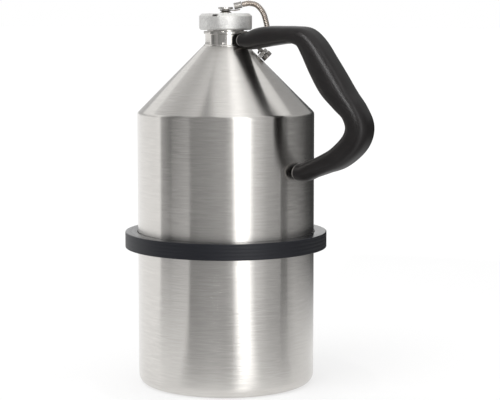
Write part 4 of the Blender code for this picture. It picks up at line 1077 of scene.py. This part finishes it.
def grip_ring(distance, shrink):
    """Cross-section of the grip: nearly oval at its ends and squarer between them."""
    centre, depth_direction = handle.point(distance), handle.depth_direction(distance)
    half_depth = handle.values(distance)[2] - shrink
    half_width = HANDLE_HALF_WIDTH - shrink
    share = min(1.0, distance / HANDLE_END_REACH, (handle.length - distance) / HANDLE_END_REACH)
    power = 2.0 / (HANDLE_END_SQUARENESS + (HANDLE_SQUARENESS - HANDLE_END_SQUARENESS) * share)
    ring = []
    for i in range(GRIP_STEPS):
        angle = 2 * math.pi * i / GRIP_STEPS
        across, deep = math.cos(angle), math.sin(angle)
        x = math.copysign(abs(across) ** power, across) * half_width
        y = math.copysign(abs(deep) ** power, deep) * half_depth
        ring.append(centre + handle.side * x + depth_direction * y)
    return ring


def grip_mesh():
    """Grip with rounded ends and a bore for its core, wider where the cups enter."""
    rounding = HANDLE_END_ROUNDING
    ends = [rounding * (1.0 - math.cos(math.pi / 2 * i / RIM_STEPS)) for i in range(RIM_STEPS)]
    count = round((handle.length - 2 * rounding) / GRIP_STEP)
    middle = [rounding + (handle.length - 2 * rounding) * i / count for i in range(count + 1)]
    outer = []
    for distance in [*ends, *middle, *[handle.length - value for value in reversed(ends)]]:
        inside = max(0.0, 1.0 - min(distance, handle.length - distance) / rounding)
        outer.append(grip_ring(distance, rounding * (1.0 - math.sqrt(max(0.0, 1.0 - inside**2)))))
    far = handle.length
    inner = tube(handle, (0.0, CUP_LENGTH), lambda mark, angle: CUP_RECESS, GRIP_STEPS)
    inner += tube(handle, [value for value in middle if CUP_LENGTH <= value <= far - CUP_LENGTH],
                  lambda mark, angle: CORE_BORE, GRIP_STEPS)
    inner += tube(handle, (far - CUP_LENGTH, far), lambda mark, angle: CUP_RECESS, GRIP_STEPS)
    return skinned(outer, inner)


def painted_rim_highlight(tree, place):
    """Share of painted highlight, which is full on the round rims at the grip's two ends."""
    axes = separated(tree, place)
    upper = math_node(tree, "GREATER_THAN", axes["Z"], (HANDLE_UPPER_SEAT + HANDLE_LOWER_SEAT) / 2)
    seat = math_node(tree, "MULTIPLY_ADD", upper, NECK_RADIUS - BODY_RADIUS, BODY_RADIUS)
    gap = math_node(tree, "SUBTRACT", axes["X"], seat)
    near_side = math_node(tree, "SUBTRACT", gap, HIGHLIGHT_RIM_REACH[0])
    far_side = math_node(tree, "SUBTRACT", HIGHLIGHT_RIM_REACH[1], gap)
    return math_node(tree, "DIVIDE", math_node(tree, "MINIMUM", near_side, far_side), HIGHLIGHT_RIM_FADE)


def grip_material():
    """Satin black plastic with the fine etched grain of its mould, and a painted highlight on its end
    rims.
    """
    made, tree, shader = shader_material("etched_black_plastic", 0.45, 0.0)
    place = place_on_piece(tree)
    grain = noise_node(tree, place, 1000.0, 4.0, 0.7)
    patches = noise_node(tree, place, 60.0, 3.0)
    colour = blended_colour(tree, ranged(tree, patches, 0.0, 1.0),
                            (0.010, 0.0085, 0.0085), (0.015, 0.013, 0.013))
    # Pale band round the grip's end rims: a painted highlight.
    rim_highlight_colour = blended_colour(tree, painted_rim_highlight(tree, place), (0.0, 0.0, 0.0), (0.25, 0.235, 0.225))
    tree.links.new(colour, rim_highlight_colour.node.inputs["A"])
    surfaced(tree, shader, rim_highlight_colour, ranged(tree, grain, 0.30, 0.42))
    shader.inputs["Specular IOR Level"].default_value = 0.30
    bumped(tree, shader, grain, 0.05 * MM)
    return made


handle = Path(handle_route(), Vector((1.0, 0.0, 0.0)), Vector((0.0, 1.0, 0.0)))
add_piece("carrying_handle", grip_mesh(), grip_material(), "can", "handle_grip")
# Near-black steel for the saddle cups: painted shade for the dark gap at the grip's ends.
shade_dark_steel = lathe_finish("painted_shade_steel", light=(0.060, 0.054, 0.050), dark=(0.035, 0.032, 0.030),
                            roughness=(0.35, 0.50), anisotropy=0.2, lines=2600.0, arc=20.0,
                            depth=0.002 * MM)
give_finish(brushed, "handle_core")
give_finish(shade_dark_steel, "handle_upper_saddle", "handle_lower_saddle")


# Studio: a pale floor that runs into a white surround, a large soft lamp, and curved
# cards round the can that the steel mirrors as soft upright bands.
CAMERA_AZIMUTH = math.radians(38.0)
CAMERA_DISTANCE = 1.440
CAMERA_SHIFT = 0.0219
CAMERA_HEIGHT = 0.3344
CAMERA_PITCH = math.radians(6.66)
CAMERA_LENS = 114.7
CAMERA_SENSOR_WIDTH = 36.0
to_camera = Vector((math.sin(CAMERA_AZIMUTH), -math.cos(CAMERA_AZIMUTH), 0.0))
to_right = Vector((math.cos(CAMERA_AZIMUTH), math.sin(CAMERA_AZIMUTH), 0.0))


def seen_rays(tree):
    """1 for rays from the camera and for mirrored or transmitted ones, 0 for the rest."""
    rays = tree.nodes.new("ShaderNodeLightPath").outputs
    seen = math_node(tree, "MAXIMUM", rays["Is Camera Ray"], rays["Is Glossy Ray"])
    return math_node(tree, "MAXIMUM", seen, rays["Is Transmission Ray"])


AMBIENT = 0.85
world = bpy.data.worlds.new("surround")
world.use_nodes = True
bpy.context.scene.world = world
background = world.node_tree.nodes["Background"]
strength = math_node(world.node_tree, "MULTIPLY_ADD", seen_rays(world.node_tree), 1.0 - AMBIENT, AMBIENT)
world.node_tree.links.new(strength, background.inputs["Strength"])
background.inputs["Color"].default_value = (1.0, 1.0, 1.0, 1.0)

FLOOR_REACH = 30.0
FLOOR_DROP = 0.2 * MM
FLOOR_TONE = 0.40
FLOOR_GLOW = 0.58
floor_mesh = bpy.data.meshes.new("studio_floor")
floor_corners = [(x * FLOOR_REACH, y * FLOOR_REACH, -FLOOR_DROP)
                 for x, y in ((-1, -1), (1, -1), (1, 1), (-1, 1))]
floor_mesh.from_pydata(floor_corners, [], [(0, 1, 2, 3)])
floor = bpy.data.objects.new("studio_floor", floor_mesh)
bpy.context.scene.collection.objects.link(floor)
floor_material, floor_tree, floor_shader = shader_material("pale_floor", 0.9, 0.0)
floor_shader.inputs["Base Color"].default_value = (FLOOR_TONE, FLOOR_TONE, FLOOR_TONE, 1.0)
floor_shader.inputs["Emission Color"].default_value = (1.0, 1.0, 1.0, 1.0)
floor_tree.links.new(math_node(floor_tree, "MULTIPLY", seen_rays(floor_tree), FLOOR_GLOW),
                     floor_shader.inputs["Emission Strength"])
floor_mesh.materials.append(floor_material)

CARD_STEPS = 24


def glowing_sheet(name, columns):
    """Stage sheet that only mirrored rays see, through columns of (point, tone)."""
    mesh_data = bmesh.new()
    layer = mesh_data.verts.layers.float.new("tone")
    made = []
    for column in columns:
        vertices = []
        for point, tone in column:
            vertex = mesh_data.verts.new(point)
            vertex[layer] = tone
            vertices.append(vertex)
        made.append(vertices)
    for first, second in zip(made, made[1:]):
        for k in range(len(first) - 1):
            mesh_data.faces.new((first[k], second[k], second[k + 1], first[k + 1]))
    mesh = bpy.data.meshes.new(name)
    mesh_data.to_mesh(mesh)
    mesh_data.free()
    mesh.materials.append(card_material)
    sheet = bpy.data.objects.new(name, mesh)
    bpy.context.scene.collection.objects.link(sheet)
    sheet.visible_camera = False
    sheet.visible_diffuse = False
    sheet.visible_shadow = False
    sheet.visible_transmission = False


def card(name, start, end, near, far, tones):
    """Glowing card on an arc round the can.

    Its ends are angles in degrees from the camera's side, positive towards the picture's
    right. Near and far are each a distance from the axis with a height: the card stands
    where the distances agree and lies where the heights do. The tones run from its start
    to its end, and one row of tones may follow another from near to far.
    """
    rows = tones if isinstance(tones[0], tuple) else (tones, tones)
    columns = []
    for i in range(CARD_STEPS + 1):
        share = i / CARD_STEPS
        angle = math.radians(start + (end - start) * share)
        direction = to_camera * math.cos(angle) + to_right * math.sin(angle)
        column = []
        for k, row in enumerate(rows):
            place = share * (len(row) - 1)
            index = min(int(place), len(row) - 2)
            reach = k / (len(rows) - 1)
            distance, height = (near[j] + (far[j] - near[j]) * reach for j in range(2))
            tone = row[index] + (row[index + 1] - row[index]) * (place - index)
            column.append((direction * distance + upward * height, tone))
        columns.append(column)
    glowing_sheet(name, columns)


card_material = bpy.data.materials.new("reflection_card")
card_material.use_nodes = True
card_tree = card_material.node_tree
card_tree.nodes.clear()
card_tone = card_tree.nodes.new("ShaderNodeAttribute")
card_tone.attribute_name = "tone"
card_glow = card_tree.nodes.new("ShaderNodeEmission")
card_tree.links.new(card_tone.outputs["Fac"], card_glow.inputs["Strength"])
card_output = card_tree.nodes.new("ShaderNodeOutputMaterial")
card_tree.links.new(card_glow.outputs[0], card_output.inputs["Surface"])

# Standing cards: what the body, the shoulder and the neck mirror, from left to right.
card("card_left_edge", -88.0, -70.0, (0.8, 0.0), (0.8, 1.2), (0.40, 0.12))
card("card_left", -70.0, -43.0, (0.8, 0.0), (0.8, 1.2), (0.235, 0.34, 0.42))
card("card_centre", -43.0, 0.0, (0.45, 0.0), (0.45, 0.7), (0.255, 0.32, 0.44))
card("card_shade", 0.0, 9.0, (0.5, 0.0), (0.5, 0.8), (0.45, 0.75))
card("card_lamp", 9.0, 34.0, (1.0, 0.0), (1.0, 1.4), (1.4, 3.8, 3.2, 1.1))
card("card_right", 34.0, 68.0, (0.45, 0.0), (0.45, 0.7), (0.88, 0.50, 0.38))
card("card_right_dark", 68.0, 80.0, (0.40, 0.0), (0.40, 0.5), (0.14, 0.14))
card("card_back_right", 80.0, 168.0, (0.8, 0.0), (0.8, 0.42), (0.25, 0.17, 0.06, 0.04, 0.08))
card("card_back_high", 80.0, 168.0, (0.8, 0.42), (0.8, 0.95), (0.56, 0.56, 0.46, 0.40, 0.40))
card("card_back_left", -178.0, -96.0, (0.8, 0.30), (0.8, 0.52), (0.55, 0.55))

# Aprons: lying cards just above the floor, mirrored towards the foot of the body.
APRON_HEIGHT = 0.5 * MM
card("apron_left", -88.0, -43.0, (0.12, APRON_HEIGHT), (0.8, APRON_HEIGHT),
     ((0.98, 1.05, 1.05), (0.88, 0.96, 0.96), (0.64, 0.68, 0.72), (0.46, 0.50, 0.56)))
card("apron_centre", -43.0, 9.0, (0.12, APRON_HEIGHT), (0.5, APRON_HEIGHT),
     ((0.66, 0.64, 0.66), (0.48, 0.46, 0.46), (0.32, 0.34, 0.36), (0.26, 0.30, 0.32)))
card("apron_lamp", 9.0, 34.0, (0.12, APRON_HEIGHT), (1.0, APRON_HEIGHT), (0.38, 1.3, 1.8, 0.9))
card("apron_right", 34.0, 68.0, (0.12, APRON_HEIGHT), (0.45, APRON_HEIGHT),
     ((0.85, 0.74, 0.74), (0.80, 0.60, 0.50), (0.80, 0.50, 0.40), (0.80, 0.46, 0.37)))
card("apron_back_right", 68.0, 168.0, (0.14, APRON_HEIGHT), (0.8, APRON_HEIGHT),
     ((0.75, 0.95, 1.0, 0.95, 0.90), (0.40, 0.85, 0.80, 0.70, 0.70), (0.20, 0.50, 0.40, 0.25, 0.25),
      (0.18, 0.26, 0.20, 0.08, 0.08)))

STRIP_MIDDLE = Vector((0.125, 0.0, 0.268))
STRIP_ALONG = Vector((0.59, 0.0, -0.807))
STRIP_AWAY = Vector((-0.05, -0.92, 0.39))
STRIP_DISTANCE = 0.35
STRIP_HALF_WIDTH = 0.042
STRIP_ENDS = (-0.16, 0.075)
STRIP_TONE = 13.0
VISOR_DEPTHS = (0.28, 0.21)
VISOR_TONE = 0.33

# A slanting strip lights the handle's long edge. Its visor hides it from the steel.
strip_centre = STRIP_MIDDLE + STRIP_AWAY * STRIP_DISTANCE
strip_across = STRIP_ALONG.cross(STRIP_AWAY).normalized() * STRIP_HALF_WIDTH
strip_ends = [strip_centre + STRIP_ALONG * reach for reach in STRIP_ENDS]
glowing_sheet("card_strip", [[(end + strip_across * side, STRIP_TONE) for end in strip_ends]
                             for side in (-1, 1)])
glowing_sheet("card_visor", [[(end + strip_across, VISOR_TONE),
                              (end + strip_across - STRIP_AWAY * depth, VISOR_TONE)]
                             for end, depth in zip(strip_ends, VISOR_DEPTHS)])

CEILING_HEIGHT = 1.3
CEILING_BACK = -1.1
CEILING_FRONT = 1.2
CEILING_TONES = ((-1.2, 0.57), (-0.73, 0.63), (-0.43, 0.76), (-0.20, 0.90), (0.04, 1.10),
                 (0.13, 1.38), (0.22, 1.34), (0.32, 1.05), (0.45, 0.95))
glowing_sheet("card_ceiling", [[
    (to_right * place + to_camera * depth + upward * CEILING_HEIGHT, tone)
    for depth in (CEILING_BACK, CEILING_FRONT)] for place, tone in CEILING_TONES])

KEY_PLACE = to_camera * 1.2 - to_right * 0.9 + upward * 1.7
KEY_TARGET = Vector((0.0, 0.0, 0.15))
KEY_SPREAD = math.radians(50.0)
KEY_ENERGY = 0.9
key_data = bpy.data.lights.new("soft_key", "SUN")
key_data.angle = KEY_SPREAD
key_data.energy = KEY_ENERGY
key = bpy.data.objects.new("soft_key", key_data)
bpy.context.scene.collection.objects.link(key)
key.location = KEY_PLACE
key.rotation_mode = "QUATERNION"
key.rotation_quaternion = (KEY_TARGET - KEY_PLACE).to_track_quat("-Z", "Y")
key.visible_glossy = False

camera_data = bpy.data.cameras.new("photograph")
camera_data.lens = CAMERA_LENS
camera_data.sensor_width = CAMERA_SENSOR_WIDTH
camera = bpy.data.objects.new("photograph", camera_data)
bpy.context.scene.collection.objects.link(camera)
camera.location = to_camera * CAMERA_DISTANCE + to_right * CAMERA_SHIFT + upward * CAMERA_HEIGHT
view_direction = -to_camera * math.cos(CAMERA_PITCH) - upward * math.sin(CAMERA_PITCH)
camera.rotation_mode = "QUATERNION"
camera.rotation_quaternion = view_direction.to_track_quat("-Z", "Y")
bpy.context.scene.camera = camera
bpy.context.scene.view_settings.view_transform = "Standard"
